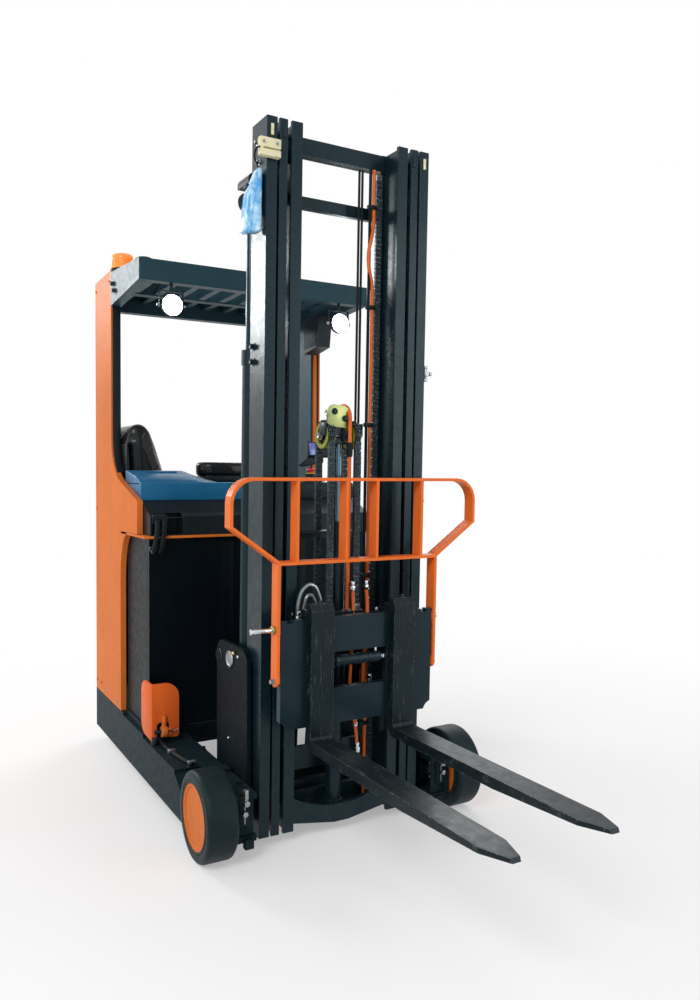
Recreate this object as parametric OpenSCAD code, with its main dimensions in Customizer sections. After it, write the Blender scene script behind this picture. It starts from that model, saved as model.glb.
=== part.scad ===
// Reach truck with a three stage mast, seated operator and sideways seat.
// X points forwards along the forks, Y to the truck's left, Z up. Millimetres.
// Working places are measured from the load axle line on the ground; truck()
// then moves everything so that the origin is the middle of the plan.

/* [Truck] */
// Width over the load wheels
truck_w = 1270; // [1150:5:1400]
// Load axle to the rear face
rear_len = 1720; // [1600:10:1900]
// Width over the body panels
body_w = 1230; // [1120:5:1260]
// Height over the body's pillars
guard_h = 2552; // [2300:10:2700]
// Floor clearance of the skirt and the legs
clearance = 76; // [50:2:120]
// Height of the top of the reach legs
leg_top = 262; // [240:2:300]

/* [Load wheels] */
// Radius of the load wheels
load_r = 175; // [150:1:200]
// Width of the load wheels
load_w = 125; // [100:1:140]
// Radius of the load wheels' metal centre
load_hub_r = 127; // [100:1:140]
// Radius of the load wheels' stub axle
axle_r = 30; // [20:1:40]

/* [Drive wheel] */
// Radius of the drive wheel
drive_r = 172; // [150:1:175]
// Width of the drive wheel
drive_w = 130; // [100:1:150]
// Distance of the steering axis behind the load axle
drive_back = 1440; // [1380:5:1460]
// Offset of the steering axis to the seat side
drive_side = 150; // [100:5:200]

/* [Mast] */
// Height of the mast's foot
mast_z0 = 47; // [40:1:60]
// Height of the mast's top, lowered
mast_z1 = 2865; // [2600:5:3000]
// Plane of the mast's front flanges
mast_front = 30; // [10:1:60]
// Depth of the column profiles
column_d = 143; // [130:1:160]
// Thickness of the flanges
flange_t = 16; // [12:1:20]
// Lean of the mast, forwards, in degrees
mast_lean = 1.33; // [0:0.01:2]

/* [Reach] */
// Thickness of the carriage's side plates
reach_plate_t = 18; // [12:1:20]
// Height of the carriage's side plates
reach_plate_h = 785; // [760:5:820]

/* [Forks] */
// Height of the top of the blades
blade_top = 465; // [460:1:500]
// Width of a fork
fork_w = 100; // [80:1:120]
// Thickness of a fork
fork_t = 40; // [35:1:45]
// Load axle to the tips of the forks
fork_tip = 1335; // [1200:5:1400]
// Distance of each fork's middle from the centre plane
fork_side = 188; // [180:1:200]
// Height of the shanks' top
shank_top = 1000; // [990:5:1020]

/* [Fork carriage] */
// Width of the side shift plate
shift_w = 696; // [660:2:720]
// Height of the lower edge of the side shift plate
shift_z0 = 515; // [510:1:520]
// Height of the upper edge of the side shift plate
shift_z1 = 940; // [930:1:960]
// Thickness of the side shift plate
shift_t = 32; // [25:1:32]

/* [Body] */
// Thickness of the body panels
panel_t = 28; // [20:1:32]
// Front face of the battery behind the load axle
battery_front = 770; // [765:1:800]
// Length of the battery along the truck
battery_l = 355; // [300:5:360]
// Height of the battery's underside
battery_z0 = 302; // [300:1:310]
// Height of the battery's top
battery_z1 = 1190; // [1150:5:1190]

/* [Fits] */
// Radial clearance of a turning fit
run_gap = 0.05; // [0.02:0.01:0.1]
// Clearance of a sliding fit
slide_gap = 0.3; // [0.2:0.1:0.6]

/* [Hidden] */
$fn = 48;

x_mid = (fork_tip - rear_len) / 2;
body_y = body_w / 2;
inner_y = body_y - panel_t;
wheel_y = truck_w / 2 - load_w / 2;
wheel_in = truck_w / 2 - load_w;

// Legs: an outer box and an inner channel in which the carriage's rollers run
rail_t = 22;
rail_out = wheel_in - 5;
rail_web = 20;
rail_in = rail_out - 93;
rail_end = 95;
leg_back = battery_front + battery_l + 10;
leg_gap = 22;
roller_z = (clearance + leg_top) / 2;
roller_r = (leg_top - clearance) / 2 - rail_t - 0.5;

// Inner face of the reach carriage's side plates
plate_y = rail_in - 28;

// Column profiles, one row a stage, each measured inwards from the side plates:
// inner edge, outer edge, web's inner and outer faces
stage_insets = [[54, 10, 22, 10], [98, 64, 85, 77], [162, 116, 144, 134]];
stage_table = [for (row = stage_insets) [for (inset = row) plate_y - inset]];
OUTER = 0;
MIDDLE = 1;
INNER = 2;
mast_back = mast_front - column_d;
mast_roller_r = column_d / 2 - flange_t - 0.5;
mast_mid_x = mast_front - column_d / 2;
bar_gap = 5;
bar_t = 15;

pivot_x = -70;
pivot_z = roller_z;
pivot_r = 25;
plate_x0 = -368;
plate_x1 = -30;
tilt_x = -338;
tilt_z = 715;
tilt_y = 220;
tilt_pin_r = 20;
tilt_eye_x = -190;

// Where the mast's tilt eye lies at rest, and the tilt cylinder's length and aim
eye_rel = [tilt_eye_x - pivot_x, tilt_z - pivot_z];
eye_rest = [pivot_x + eye_rel[0] * cos(mast_lean) + eye_rel[1] * sin(mast_lean),
    pivot_z - eye_rel[0] * sin(mast_lean) + eye_rel[1] * cos(mast_lean)];
tilt_l = norm(eye_rest - [tilt_x, tilt_z]);
tilt_aim = atan2(eye_rest[1] - tilt_z, eye_rest[0] - tilt_x);

lift_cyl_y = stage_table[OUTER][2] - 25;
lift_cyl_x = mast_back - 87;
lift_cyl_r = 32;
lift_rod_r = 20;
lift_cyl_top = 2000;
lift_head_z = mast_z1 - 215;
lift_cyl_foot = 90;

free_x = -48;
free_r = 34;
free_rod_r = 21;
free_top = 1300;
head_z = 1622;
sheave_r = 55;
sheave_w = 36;
chain_y = 62;
hose_y = 22;
hose_sheave_r = 50;

shift_x1 = mast_front + 128;
shift_x0 = shift_x1 - shift_t;
carriage_x0 = mast_front + 12;
carriage_x1 = shift_x0 - 6;

body_orange = [0.91, 0.50, 0.30];
guard_orange = [0.95, 0.45, 0.20];
mast_black = [0.13, 0.17, 0.19];
frame_dark = [0.18, 0.23, 0.24];
battery_black = [0.04, 0.06, 0.08];
cover_blue = [0.16, 0.38, 0.52];
rubber_black = [0.10, 0.10, 0.11];
zinc = [0.75, 0.78, 0.50];
steel = [0.75, 0.77, 0.79];

module truck() translate([-x_mid, 0, 0]) children();

// The mast's own frame is upright and leans about the tilt pivot
module on_mast() truck()
    translate([pivot_x, 0, pivot_z]) rotate([0, mast_lean, 0]) translate([-pivot_x, 0, -pivot_z])
        children();

module both() {
    children();
    mirror([0, 1, 0]) children();
}

// Box from one corner to the other
module span(a, b) translate(a) cube([b[0] - a[0], b[1] - a[1], b[2] - a[2]]);

// Cylinder along Y from y0 to y1
module along_y(r, y0, y1) translate([0, y0, 0]) rotate([-90, 0, 0]) cylinder(r = r, h = y1 - y0);

// Cylinder along X from x0 to x1
module along_x(r, x0, x1) translate([x0, 0, 0]) rotate([0, 90, 0]) cylinder(r = r, h = x1 - x0);

// Side view outline in X and Z, raised along Y from y0 to y1
module side_slab(y0, y1) translate([0, y1, 0]) rotate([90, 0, 0]) linear_extrude(y1 - y0) children();

// Front view outline in Y and Z, raised along X from x0 to x1
module front_slab(x0, x1) translate([x0, 0, 0]) rotate([90, 0, 90]) linear_extrude(x1 - x0) children();

// Points of an arc from angle a to angle b
function arc(c, r, a, b, n = 8) = [for (i = [0:n]) let (t = a + (b - a) * i / n) c + r * [cos(t), sin(t)]];

// Round tube through a list of points, with s sides
function unit(v) = v / norm(v);
function way(p, i) = unit(p[min(i + 1, len(p) - 1)] - p[max(i - 1, 0)]);
function side_of(d) = unit(abs(d[1]) < 0.9 ? cross(d, [0, 1, 0]) : cross(d, [1, 0, 0]));
module sweep(p, r, s = 8) {
    n = len(p);
    rings = [for (i = [0:n - 1]) let (d = way(p, i), u = side_of(d), v = cross(d, u))
        for (k = [0:s - 1]) p[i] + r * (cos(360 * k / s) * u + sin(360 * k / s) * v)];
    walls = [for (i = [0:n - 2], k = [0:s - 1]) let (a = i * s + k, b = i * s + (k + 1) % s)
        [a, a + s, b + s, b]];
    ends = [[for (k = [0:s - 1]) k], [for (k = [s - 1:-1:0]) (n - 1) * s + k]];
    polyhedron(points = rings, faces = concat(walls, ends));
}

// Points of a curve by cubic steps between hand placed points
function curve_at(p, i, t) = let (a = p[max(i - 1, 0)], b = p[i], c = p[i + 1], d = p[min(i + 2, len(p) - 1)])
    0.5 * ((2 * b) + (c - a) * t + (2 * a - 5 * b + 4 * c - d) * t * t + (3 * b - a - 3 * c + d) * t * t * t);
function curve(p, n = 4) = [for (i = [0:len(p) - 2], k = [0:n - 1]) curve_at(p, i, k / n), p[len(p) - 1]];

// Leaf chain of length l along Z: plates bulge at each pitch
chain_w = 28;
chain_d = 18;
chain_pitch = 19.05;
module chain(l) {
    n = floor(l / chain_pitch);
    e = (l - n * chain_pitch) / 2;
    half = concat([[chain_d / 2 - 3, 0]],
        [for (i = [0:n - 1], q = [[0.2, 0], [0.8, 0], [1, 3]])
            [chain_d / 2 - q[1], e + (i + q[0]) * chain_pitch]], [[chain_d / 2 - 3, l]]);
    back = [for (i = [len(half) - 1:-1:0]) [-half[i][0], half[i][1]]];
    side_slab(-chain_w / 2, chain_w / 2) polygon(concat(half, back));
}

// Rotation solid about the Y axis from a list of [radius, y] points
module turned_y(p) rotate([-90, 0, 0]) rotate_extrude($fn = 96) polygon(p);

skirt_z1 = 288;
pocket_r = 250;
tower_h = 420;
module chassis() color(frame_dark) truck() {
    difference() {
        union() {
            span([-rear_len, -body_y, clearance], [-leg_back, body_y, skirt_z1]);
            span([-rear_len + 40, -inner_y + 2, skirt_z1], [-leg_back - 20, drive_side - 50, tower_h]);
            span([-leg_back - 14, -inner_y + 2, skirt_z1], [-leg_back, inner_y - 2, battery_z1]);
        }
        span([-rear_len + 70, -inner_y + 30, clearance - 1], [-leg_back - 60, inner_y - 30, skirt_z1 - 12]);
        span([-drive_back - pocket_r, -drive_side - pocket_r, clearance - 1],
            [-leg_back - 60, -drive_side + pocket_r, tower_h - 12]);
        span([entry_x + 20, inner_y - 130, clearance + 90], [-leg_back - 60, body_y + 1, skirt_z1 + 1]);
    }
    span([entry_x + 20, inner_y - 130, clearance + 80], [-leg_back - 60, body_y, clearance + 90]);
    span([-leg_back, -body_y + 20, battery_z0 - 26], [-battery_front - 5, body_y - 20, battery_z0]);
}

arch_r = load_r + 22;
module leg() {
    difference() {
        union() {
            span([-leg_back, rail_out - rail_web, clearance], [rail_end, rail_out, leg_top]);
            span([-leg_back, rail_in, clearance], [rail_end, rail_out, clearance + rail_t]);
            span([-leg_back, rail_in, leg_top - rail_t], [rail_end, rail_out, leg_top]);
            span([-leg_back, rail_out, clearance], [-100, body_y, leg_top]);
            span([-leg_back, rail_in, leg_top], [-battery_front - 5, body_y, battery_z0 - 26]);
        }
        translate([0, 0, load_r]) along_y(arch_r, rail_out, body_y + 1);
        translate([-arch_r - 75, 0, leg_top + 40]) rotate([0, 30, 0])
            span([0, rail_out, -60], [200, body_y + 1, 60]);
    }
    translate([0, 0, load_r]) along_y(axle_r, rail_out - rail_web - 8, truck_w / 2 - 28);
    translate([0, 0, load_r]) along_y(axle_r + 22, rail_out - rail_web - 6, rail_out - rail_web);
    span([-arch_r - 30, rail_in + 4, leg_top], [-arch_r + 30, rail_out - 20, leg_top + 14]);
}
module leg_left() color(frame_dark) truck() leg();
module leg_right() color(frame_dark) truck() mirror([0, 1, 0]) leg();

battery_y = inner_y - 2;
module battery() color(battery_black) truck() {
    span([-battery_front - battery_l, -battery_y, battery_z0], [-battery_front, battery_y, battery_z1]);
}

plug_y = -505;
plug_z = 1290;
hood_front = 752;
hood_z1 = 1365;
hood_z0 = 1205;
module hood() color(frame_dark) truck() difference() {
    union() {
        span([-leg_back - 40, -inner_y + 2, hood_z0], [-hood_front, inner_y - 2, hood_z1 - 70]);
        side_slab(-inner_y + 2, inner_y - 2)
            polygon([[-leg_back - 40, hood_z1 - 70], [-hood_front, hood_z1 - 70],
                [-hood_front - 140, hood_z1], [-leg_back - 40, hood_z1]]);
    }
    span([-hood_front - 90, plug_y - 70, plug_z - 80], [-hood_front + 1, plug_y + 75, plug_z + 20]);
}

module hood_strip() color(body_orange) truck() difference() {
    span([-leg_back - 30, -body_y, battery_z1 + 3], [-hood_front + 12, body_y, hood_z0]);
    span([-leg_back - 31, -inner_y + 40, battery_z1], [-hood_front - 16, inner_y - 40, hood_z0 + 1]);
    for (s = [-1, 1]) scale([1, s, 1])
        span([-leg_back - 31, inner_y - 1, battery_z1], [cut_x + cut_r, body_y + 1, hood_z0 + 1]);
}

cover_z1 = 1462;
cover_x0 = -leg_back - 60;
module hood_cover() color(cover_blue) truck() {
    side_slab(-inner_y + 2, inner_y - 2)
        polygon([[cover_x0, hood_z1], [-hood_front - 150, hood_z1], [-hood_front - 150, cover_z1 - 30],
            [-hood_front - 165, cover_z1 - 12], [cover_x0, cover_z1 - 12]]);
    side_slab(-inner_y + 2, -300)
        polygon([[cover_x0, cover_z1 - 13], [-hood_front - 170, cover_z1 - 13],
            [-hood_front - 230, cover_z1 + 12], [cover_x0, cover_z1 + 12]]);
}

// Where the way in on the left starts
entry_x = -rear_len + 145;

// The right panel's outline: pillar, sweep to the hood, battery cut-out
pillar_w = 355;
pillar_x = -rear_len + pillar_w;
panel_lip = 14;
lip_x = pillar_x - 12 + slide_gap;
entry_z1 = 1100;
sweep_r = 244;
flare_x = -865;
cut_x = -1178;
cut_z = 1207;
cut_r = 150;
function panel_right_points() = concat(
    [[-rear_len, skirt_z1], [cut_x, skirt_z1]],
    [for (a = [0:15:90]) [cut_x + cut_r * (1 - cos(a)), cut_z - 1.6 * cut_r * (1 - sin(a))]],
    [[flare_x, cut_z], [flare_x, hood_z1]],
    arc([pillar_x + sweep_r, hood_z1 + 327], sweep_r, -106, -180, 10),
    [[pillar_x, guard_h], [-rear_len, guard_h]]);
module side_panel_right() color(body_orange) truck() {
    side_slab(-body_y, -inner_y) polygon(panel_right_points());
    side_slab(-inner_y - 1, -inner_y + panel_lip)
        polygon([[lip_x, hood_z1 + 327], [pillar_x, hood_z1 + 327], [pillar_x, guard_h - 190],
            [lip_x, guard_h - 190]]);
}

module side_panel_left() color(body_orange) truck() {
    side_slab(inner_y, body_y) polygon(concat(
        [[-rear_len, skirt_z1], [entry_x, skirt_z1]],
        arc([entry_x - 120, 700], 120, 0, 30, 4),
        [[pillar_x, entry_z1], [pillar_x, guard_h], [-rear_len, guard_h]]));
    side_slab(inner_y - panel_lip, inner_y + 1)
        polygon([[lip_x, entry_z1], [pillar_x, entry_z1], [pillar_x, guard_h - 190],
            [lip_x, guard_h - 190]]);
}

// Rear cover: a panel with a row of slots and a raised frame round its service door
rear_z1 = 1330;
slots_z = 570;
slot_pitch = 45;
slot_l = 420;
slot_r = 9;
door_w = 620;
module rear_panel() color(body_orange) truck() {
    difference() {
        span([-rear_len, -inner_y, skirt_z1], [-rear_len + panel_t, inner_y, rear_z1]);
        for (i = [0:5]) translate([-rear_len, 0, slots_z + i * slot_pitch]) {
            span([-1, -slot_l / 2, -slot_r], [panel_t + 1, slot_l / 2, slot_r]);
            for (s = [-1, 1]) translate([0, s * slot_l / 2, 0]) along_x(slot_r, -1, panel_t + 1);
        }
        difference() {
            span([-rear_len - 1, -door_w / 2, skirt_z1 + 60], [-rear_len + 4, door_w / 2, rear_z1 - 60]);
            span([-rear_len - 2, -door_w / 2 + 8, skirt_z1 + 68],
                [-rear_len + 5, door_w / 2 - 8, rear_z1 - 68]);
        }
    }
}

seat_y0 = -inner_y + 25;
seat_x0 = -rear_len + 55;
seat_x1 = -rear_len + 505;
seat_back_z1 = 1768;
seat_z = 1010;
module seat_base() color(frame_dark) truck() {
    span([seat_x0 + 10, seat_y0, tower_h], [seat_x1 + 10, drive_side - 60, seat_z - 150]);
}
module seat_cushion() color(rubber_black) truck()
    span([seat_x0, seat_y0 + 60, seat_z - 149.7], [seat_x1, -60, seat_z]);
module seat_back() color(rubber_black) truck() front_slab(seat_x0 + 25, seat_x1 - 35)
    polygon(concat([[seat_y0 + 77, seat_z + 0.3], [seat_y0 + 232, seat_z + 0.3], [seat_y0 + 232, 1500]],
        arc([seat_y0 + 77, seat_back_z1 - 68], 68, 10, 170, 8),
        [[seat_y0 + 2, 1500], [seat_y0 + 2, seat_z + 120]]));

// Control console on the cover: a wide foot and a padded rest with a round end
arm_x = pillar_x + 75;
arm_w = 170;
module armrest() color(rubber_black) truck() {
    span([arm_x, -205, cover_z1 - 12], [arm_x + arm_w, 130, cover_z1 + 40]);
    translate([arm_x + arm_w / 2, -125, cover_z1 + 39]) cylinder(r = arm_w / 2 - 10, h = 39);
    span([arm_x + 10, -125, cover_z1 + 39], [arm_x + arm_w - 10, 120, cover_z1 + 78]);
}

wheel_c = [-rear_len + 190, 300, 1130];
module steering_wheel() color(rubber_black) truck() {
    translate(wheel_c) {
        rotate_extrude($fn = 48) translate([125, 0]) circle(r = 14, $fn = 16);
        for (a = [0, 120, 240]) rotate([0, 0, a]) span([20, -14, -8], [120, 14, 8]);
        translate([0, 0, -60]) cylinder(r = 34, h = 75);
        translate([0, 0, -230]) cylinder(r = 24, h = 180);
    }
    span([-rear_len + panel_t, 180, 760], [-rear_len + 240, 420, 910]);
}

module controls() color(rubber_black) truck() {
    for (i = [0:3]) translate([pillar_x + 175, 160 + 45 * i, cover_z1 - 12]) {
        cylinder(r = 7, h = 70);
        translate([0, 0, 70]) sphere(r = 15);
    }
    translate([pillar_x + 365, 430, cover_z1 - 12]) {
        cylinder(r = 12, h = 145);
        translate([0, 0, 140]) rotate([0, -12, 0]) span([-20, -75, 0], [14, 75, 85]);
    }
    for (i = [0:2]) translate([-rear_len + 100 + 150 * i, 330, skirt_z1]) {
        span([0, 0, 0], [110, 150, 12]);
        translate([0, 20, 0]) rotate([12, 0, 0]) span([8, 0, 10], [102, 118, 20]);
    }
}

module emergency_switch() truck() translate([pillar_x + 365, 330, cover_z1 - 12]) {
    color("gold") cylinder(r1 = 32, r2 = 28, h = 34);
    color("red") translate([0, 0, 34]) {
        cylinder(r = 13, h = 12);
        translate([0, 0, 12]) cylinder(r1 = 22, r2 = 18, h = 12);
    }
}

roof_front = 822;
roof_z1 = guard_h - 52;
roof_t = 100;
roof_side_z = guard_h - 184;
post_t = 26;
slat_pitch = 120;
module overhead_guard() color(frame_dark) truck() {
    both() {
        side_slab(inner_y - post_t, inner_y)
            polygon([[-rear_len + 5, rear_z1], [pillar_x - 12, rear_z1], [pillar_x - 12, roof_side_z],
                [-roof_front, roof_z1 - roof_t], [-roof_front, roof_z1], [pillar_x + 20, guard_h - 10],
                [-rear_len + 5, guard_h - 10]]);
        side_slab(inner_y, body_y) polygon([[pillar_x, roof_side_z], [-roof_front, roof_z1 - roof_t],
            [-roof_front, roof_z1], [pillar_x, guard_h - 10]]);
    }
    side_slab(-inner_y, inner_y) polygon([[-roof_front, roof_z1], [-roof_front, roof_z1 - roof_t],
        [-roof_front - 55, roof_z1 - roof_t], [-roof_front - 55, roof_z1 - roof_t + 8],
        [-roof_front - 12, roof_z1 - roof_t + 8], [-roof_front - 12, roof_z1 - 12],
        [-roof_front - 55, roof_z1 - 8], [-roof_front - 55, roof_z1 + 4]]);
    span([-rear_len + 5, -inner_y, guard_h - 152], [-rear_len + 60, inner_y, guard_h - 20]);
    span([-rear_len + 5, -inner_y, guard_h - 20], [pillar_x + 20, inner_y, guard_h - 10]);
    span([pillar_x + 19, -inner_y, guard_h - 20], [pillar_x + 140, dome_y + 70, guard_h - 10]);
    span([pillar_x - 80, -inner_y, guard_h - 102], [pillar_x - 20, inner_y, guard_h - 15]);
    for (i = [-4:4]) span([-rear_len + 50, i * slat_pitch - 18, roof_z1 - 45],
        [-roof_front - 11, i * slat_pitch + 18, roof_z1 - 13]);
}

lamp_x = -roof_front - 24;
lamp_y = 455;
lamp_r = 47;
lamp_z = roof_z1 - roof_t - lamp_r - 46;
module work_lights() color("white") truck() both() translate([lamp_x, lamp_y, lamp_z]) {
    rotate([0, 90, 0]) translate([0, 0, -34]) rotate_extrude()
        polygon([[0, 0], [22, 0], [lamp_r - 4, 26], [lamp_r, 30], [lamp_r, 56], [lamp_r - 5, 60], [0, 60]]);
    for (s = [-1, 1]) scale([1, s, 1]) span([-9, lamp_r + 2, -12], [9, lamp_r + 7, lamp_r + 22]);
    for (s = [-1, 1]) scale([1, s, 1]) along_y(6, lamp_r - 3, lamp_r + 11);
    span([-9, -lamp_r - 7, lamp_r + 17], [9, lamp_r + 7, lamp_r + 22]);
    translate([0, 0, lamp_r + 21]) cylinder(r = 8, h = roof_z1 - roof_t - lamp_z - lamp_r - 21);
}

beacon_r = 68;
module beacon() color("orange") truck() translate([pillar_x - 40, -body_y + beacon_r + 7, guard_h - 10])
    rotate_extrude($fn = 96) polygon(concat([[0, 0], [beacon_r - 24, 0], [beacon_r - 24, 10 + slide_gap],
        [beacon_r, 10 + slide_gap], [beacon_r, 24], [beacon_r - 4, 28]],
        arc([beacon_r - 28, 88], 24, 0, 90, 6), [[0, 112]]));

// Ribbed dome beside the beacon
dome_x = pillar_x + 75;
dome_y = -460;
dome_r = 56;
module roof_dome() color(rubber_black) truck() translate([dome_x, dome_y, guard_h - 10])
    rotate_extrude($fn = 96) polygon(concat([[0, 0], [dome_r, 0], [dome_r, 10]],
        [for (i = [0:3], q = [[0, 0], [3, 2], [3, 8], [0, 10]]) [dome_r - 4 - q[0], 10 + i * 11 + q[1]]],
        arc([dome_r - 30, 54], 26, 0, 90, 6), [[0, 80]]));

// Box under the left side of the roof
module guard_box() color(rubber_black) truck() side_slab(inner_y - post_t - 82, inner_y - post_t)
    polygon([[pillar_x + 65, roof_side_z - 175], [pillar_x + 225, roof_side_z - 150],
        [pillar_x + 245, roof_side_z - 20], [pillar_x + 245, roof_side_z + 25],
        [pillar_x + 65, roof_side_z + 10]]);

module drive_unit() color(frame_dark) truck() translate([-drive_back, -drive_side, 0]) {
    translate([0, 0, drive_r * 2 + 10]) cylinder(r = 150, h = tower_h - 12 - slide_gap - drive_r * 2 - 10);
    span([-75, drive_w / 2 + 8, 90], [75, drive_w / 2 + 70, drive_r * 2 + 12]);
    translate([0, 0, drive_r]) along_y(90, drive_w / 2 + 8, drive_w / 2 + 70);
    translate([0, 0, drive_r]) along_y(28, -drive_w / 2 + 10, drive_w / 2 + 10);
}
module drive_hub() color(steel) truck() translate([-drive_back, -drive_side, drive_r])
    turned_y([[28 + run_gap, -drive_w / 2 + 12], [drive_r - 32, -drive_w / 2 + 12],
        [drive_r - 32, drive_w / 2 - 8], [28 + run_gap, drive_w / 2 - 8]]);
module drive_tyre() color(rubber_black) truck() translate([-drive_back, -drive_side, drive_r])
    turned_y([[drive_r - 32, -drive_w / 2], [drive_r - 6, -drive_w / 2], [drive_r, -drive_w / 2 + 8],
        [drive_r, drive_w / 2 - 8], [drive_r - 6, drive_w / 2], [drive_r - 32, drive_w / 2]]);

module load_hub() translate([0, 0, load_r])
    turned_y([[axle_r + run_gap, wheel_in + 4], [load_hub_r, wheel_in + 4], [load_hub_r, truck_w / 2 - 3],
        [load_hub_r - 12, truck_w / 2 - 3], [load_hub_r - 16, truck_w / 2 - 9], [0, truck_w / 2 - 9],
        [0, truck_w / 2 - 26], [axle_r + run_gap, truck_w / 2 - 26]]);
module load_tyre() translate([0, 0, load_r])
    turned_y([[load_hub_r, wheel_in], [load_r - 10, wheel_in], [load_r, wheel_in + 10],
        [load_r, truck_w / 2 - 10], [load_r - 10, truck_w / 2], [load_hub_r, truck_w / 2]]);
module load_hub_left() color(body_orange) truck() load_hub();
module load_hub_right() color(body_orange) truck() mirror([0, 1, 0]) load_hub();
module load_tyre_left() color(rubber_black) truck() load_tyre();
module load_tyre_right() color(rubber_black) truck() mirror([0, 1, 0]) load_tyre();

module reach_carriage() color(mast_black) truck() {
    both() difference() {
        union() {
            side_slab(plate_y, plate_y + reach_plate_t)
                polygon(concat([[plate_x0 + 20, 95], [plate_x1, 95]],
                    arc([plate_x1 - 60, reach_plate_h - 60], 60, 0, 90),
                    arc([plate_x0 + 60, reach_plate_h - 60], 60, 90, 180), [[plate_x0, 130]]));
            for (x = [tilt_x, pivot_x]) translate([x, 0, roller_z]) {
                along_y(roller_r - 30, plate_y + reach_plate_t - 1, rail_in + 10);
                along_y(roller_r, rail_in + 8, rail_in + 60);
            }
        }
        translate([pivot_x, 0, pivot_z]) along_y(pivot_r + run_gap, plate_y - 1, plate_y + reach_plate_t);
    }
    span([plate_x0 + 5, -plate_y - 1, 110], [plate_x0 + 75, plate_y + 1, 235]);
    translate([tilt_x, 0, tilt_z]) along_y(tilt_pin_r, -plate_y - 1, plate_y + 1);
    both() translate([tilt_x, 0, tilt_z])
        along_y(tilt_pin_r + 6, plate_y + reach_plate_t - 1, plate_y + reach_plate_t + 8);
}

rod_eye_r = 22;
rod_r = 15;
barrel_l = 100;
module tilt_cylinder() truck() both()
    translate([tilt_x, tilt_y, tilt_z]) rotate([0, -tilt_aim, 0]) children();
module tilt_barrels() color(mast_black) tilt_cylinder() difference() {
    union() {
        along_y(tilt_pin_r + 12, -22, 22);
        along_x(30, 20, barrel_l);
    }
    along_y(tilt_pin_r + run_gap, -23, 23);
    along_x(rod_r + run_gap, tilt_pin_r + 14, barrel_l + 1);
}
eye_pin_r = 12;
module tilt_rods() color(steel) tilt_cylinder() difference() {
    union() {
        along_x(rod_r, tilt_pin_r + 50, tilt_l - 10);
        translate([tilt_l, 0, 0]) along_y(rod_eye_r, -14, 14);
    }
    translate([tilt_l, 0, 0]) along_y(eye_pin_r + 2.5, -15, 15);
}

// One column of a stage, as a flanged profile along the mast
module column(k, z0, z1) let (s = stage_table[k]) translate([0, 0, z0]) linear_extrude(z1 - z0) union() {
    translate([mast_front - flange_t, s[0]]) square([flange_t, s[1] - s[0]]);
    translate([mast_back, s[0]]) square([flange_t, s[1] - s[0]]);
    translate([mast_back, s[2]]) square([column_d, s[3] - s[2]]);
}

// A roller on a column's web, reaching across to the next stage
module mast_roller(y0, y1, z) translate([mast_mid_x, 0, z]) along_y(mast_roller_r, y0, y1);

mast_l = mast_z1 - mast_z0;
outer_bar_x = mast_back - 2 * bar_gap - bar_t;
// Cross bars of the outer and middle stages, one row a bar: height of the underside, depth
outer_bars = [[mast_z0 + 25, 110], [tilt_z - 60, 110], [mast_z1 - 272, 50]];
middle_bars = [[mast_z0 + 190, 100], [mast_z1 - 75, 60]];
middle_bar_x = mast_back - bar_gap;
module mast_outer() color(mast_black) on_mast() {
    s = stage_table[OUTER];
    both() {
        column(OUTER, mast_z0, mast_z1);
        mast_roller(stage_table[MIDDLE][3] + 2, s[2] + 1, mast_z1 - 85);
        for (bar = outer_bars)
            span([outer_bar_x - 24, s[0], bar[0]], [mast_back + 1, s[1], bar[0] + bar[1]]);
        translate([pivot_x, 0, pivot_z]) along_y(pivot_r, s[1] - 1, plate_y + reach_plate_t - 3);
        translate([pivot_x, 0, pivot_z]) along_y(pivot_r + 18, s[1] - 1, plate_y - 4);
    }
    for (bar = outer_bars)
        span([outer_bar_x - 24, -s[0] - 1, bar[0]], [outer_bar_x, s[0] + 1, bar[0] + bar[1]]);
    both() for (y = [-25, 18]) translate([0, tilt_y + y, 0])
        span([tilt_eye_x - 17, 0, tilt_z - 22], [outer_bar_x - 20, 7, tilt_z + 22]);
    both() translate([tilt_eye_x, 0, tilt_z]) along_y(eye_pin_r, tilt_y - 20, tilt_y + 20);
}

module mast_middle() color(mast_black) on_mast() {
    s = stage_table[MIDDLE];
    both() {
        column(MIDDLE, mast_z0, mast_z1);
        mast_roller(s[3] - 1, stage_table[OUTER][2] - 2, mast_z0 + 90);
        mast_roller(stage_table[INNER][3] + 2, s[2] + 1, mast_z1 - 85);
        for (bar = middle_bars)
            span([middle_bar_x - bar_t, s[0], bar[0]], [mast_back + 1, s[1], bar[0] + bar[1]]);
        front_slab(lift_cyl_x - 34, middle_bar_x) polygon(concat([[s[0], lift_head_z]],
            [[lift_cyl_y + 50, lift_head_z]], arc([lift_cyl_y + 20, lift_head_z + 15], 30, 0, 90),
            [[s[0], lift_head_z + 45]]));
        span([middle_bar_x - 1, s[0], lift_head_z], [mast_back + 1, s[1], lift_head_z + 45]);
    }
    for (bar = middle_bars)
        span([middle_bar_x - bar_t, -s[0] - 1, bar[0]], [middle_bar_x, s[0] + 1, bar[0] + bar[1]]);
}

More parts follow.
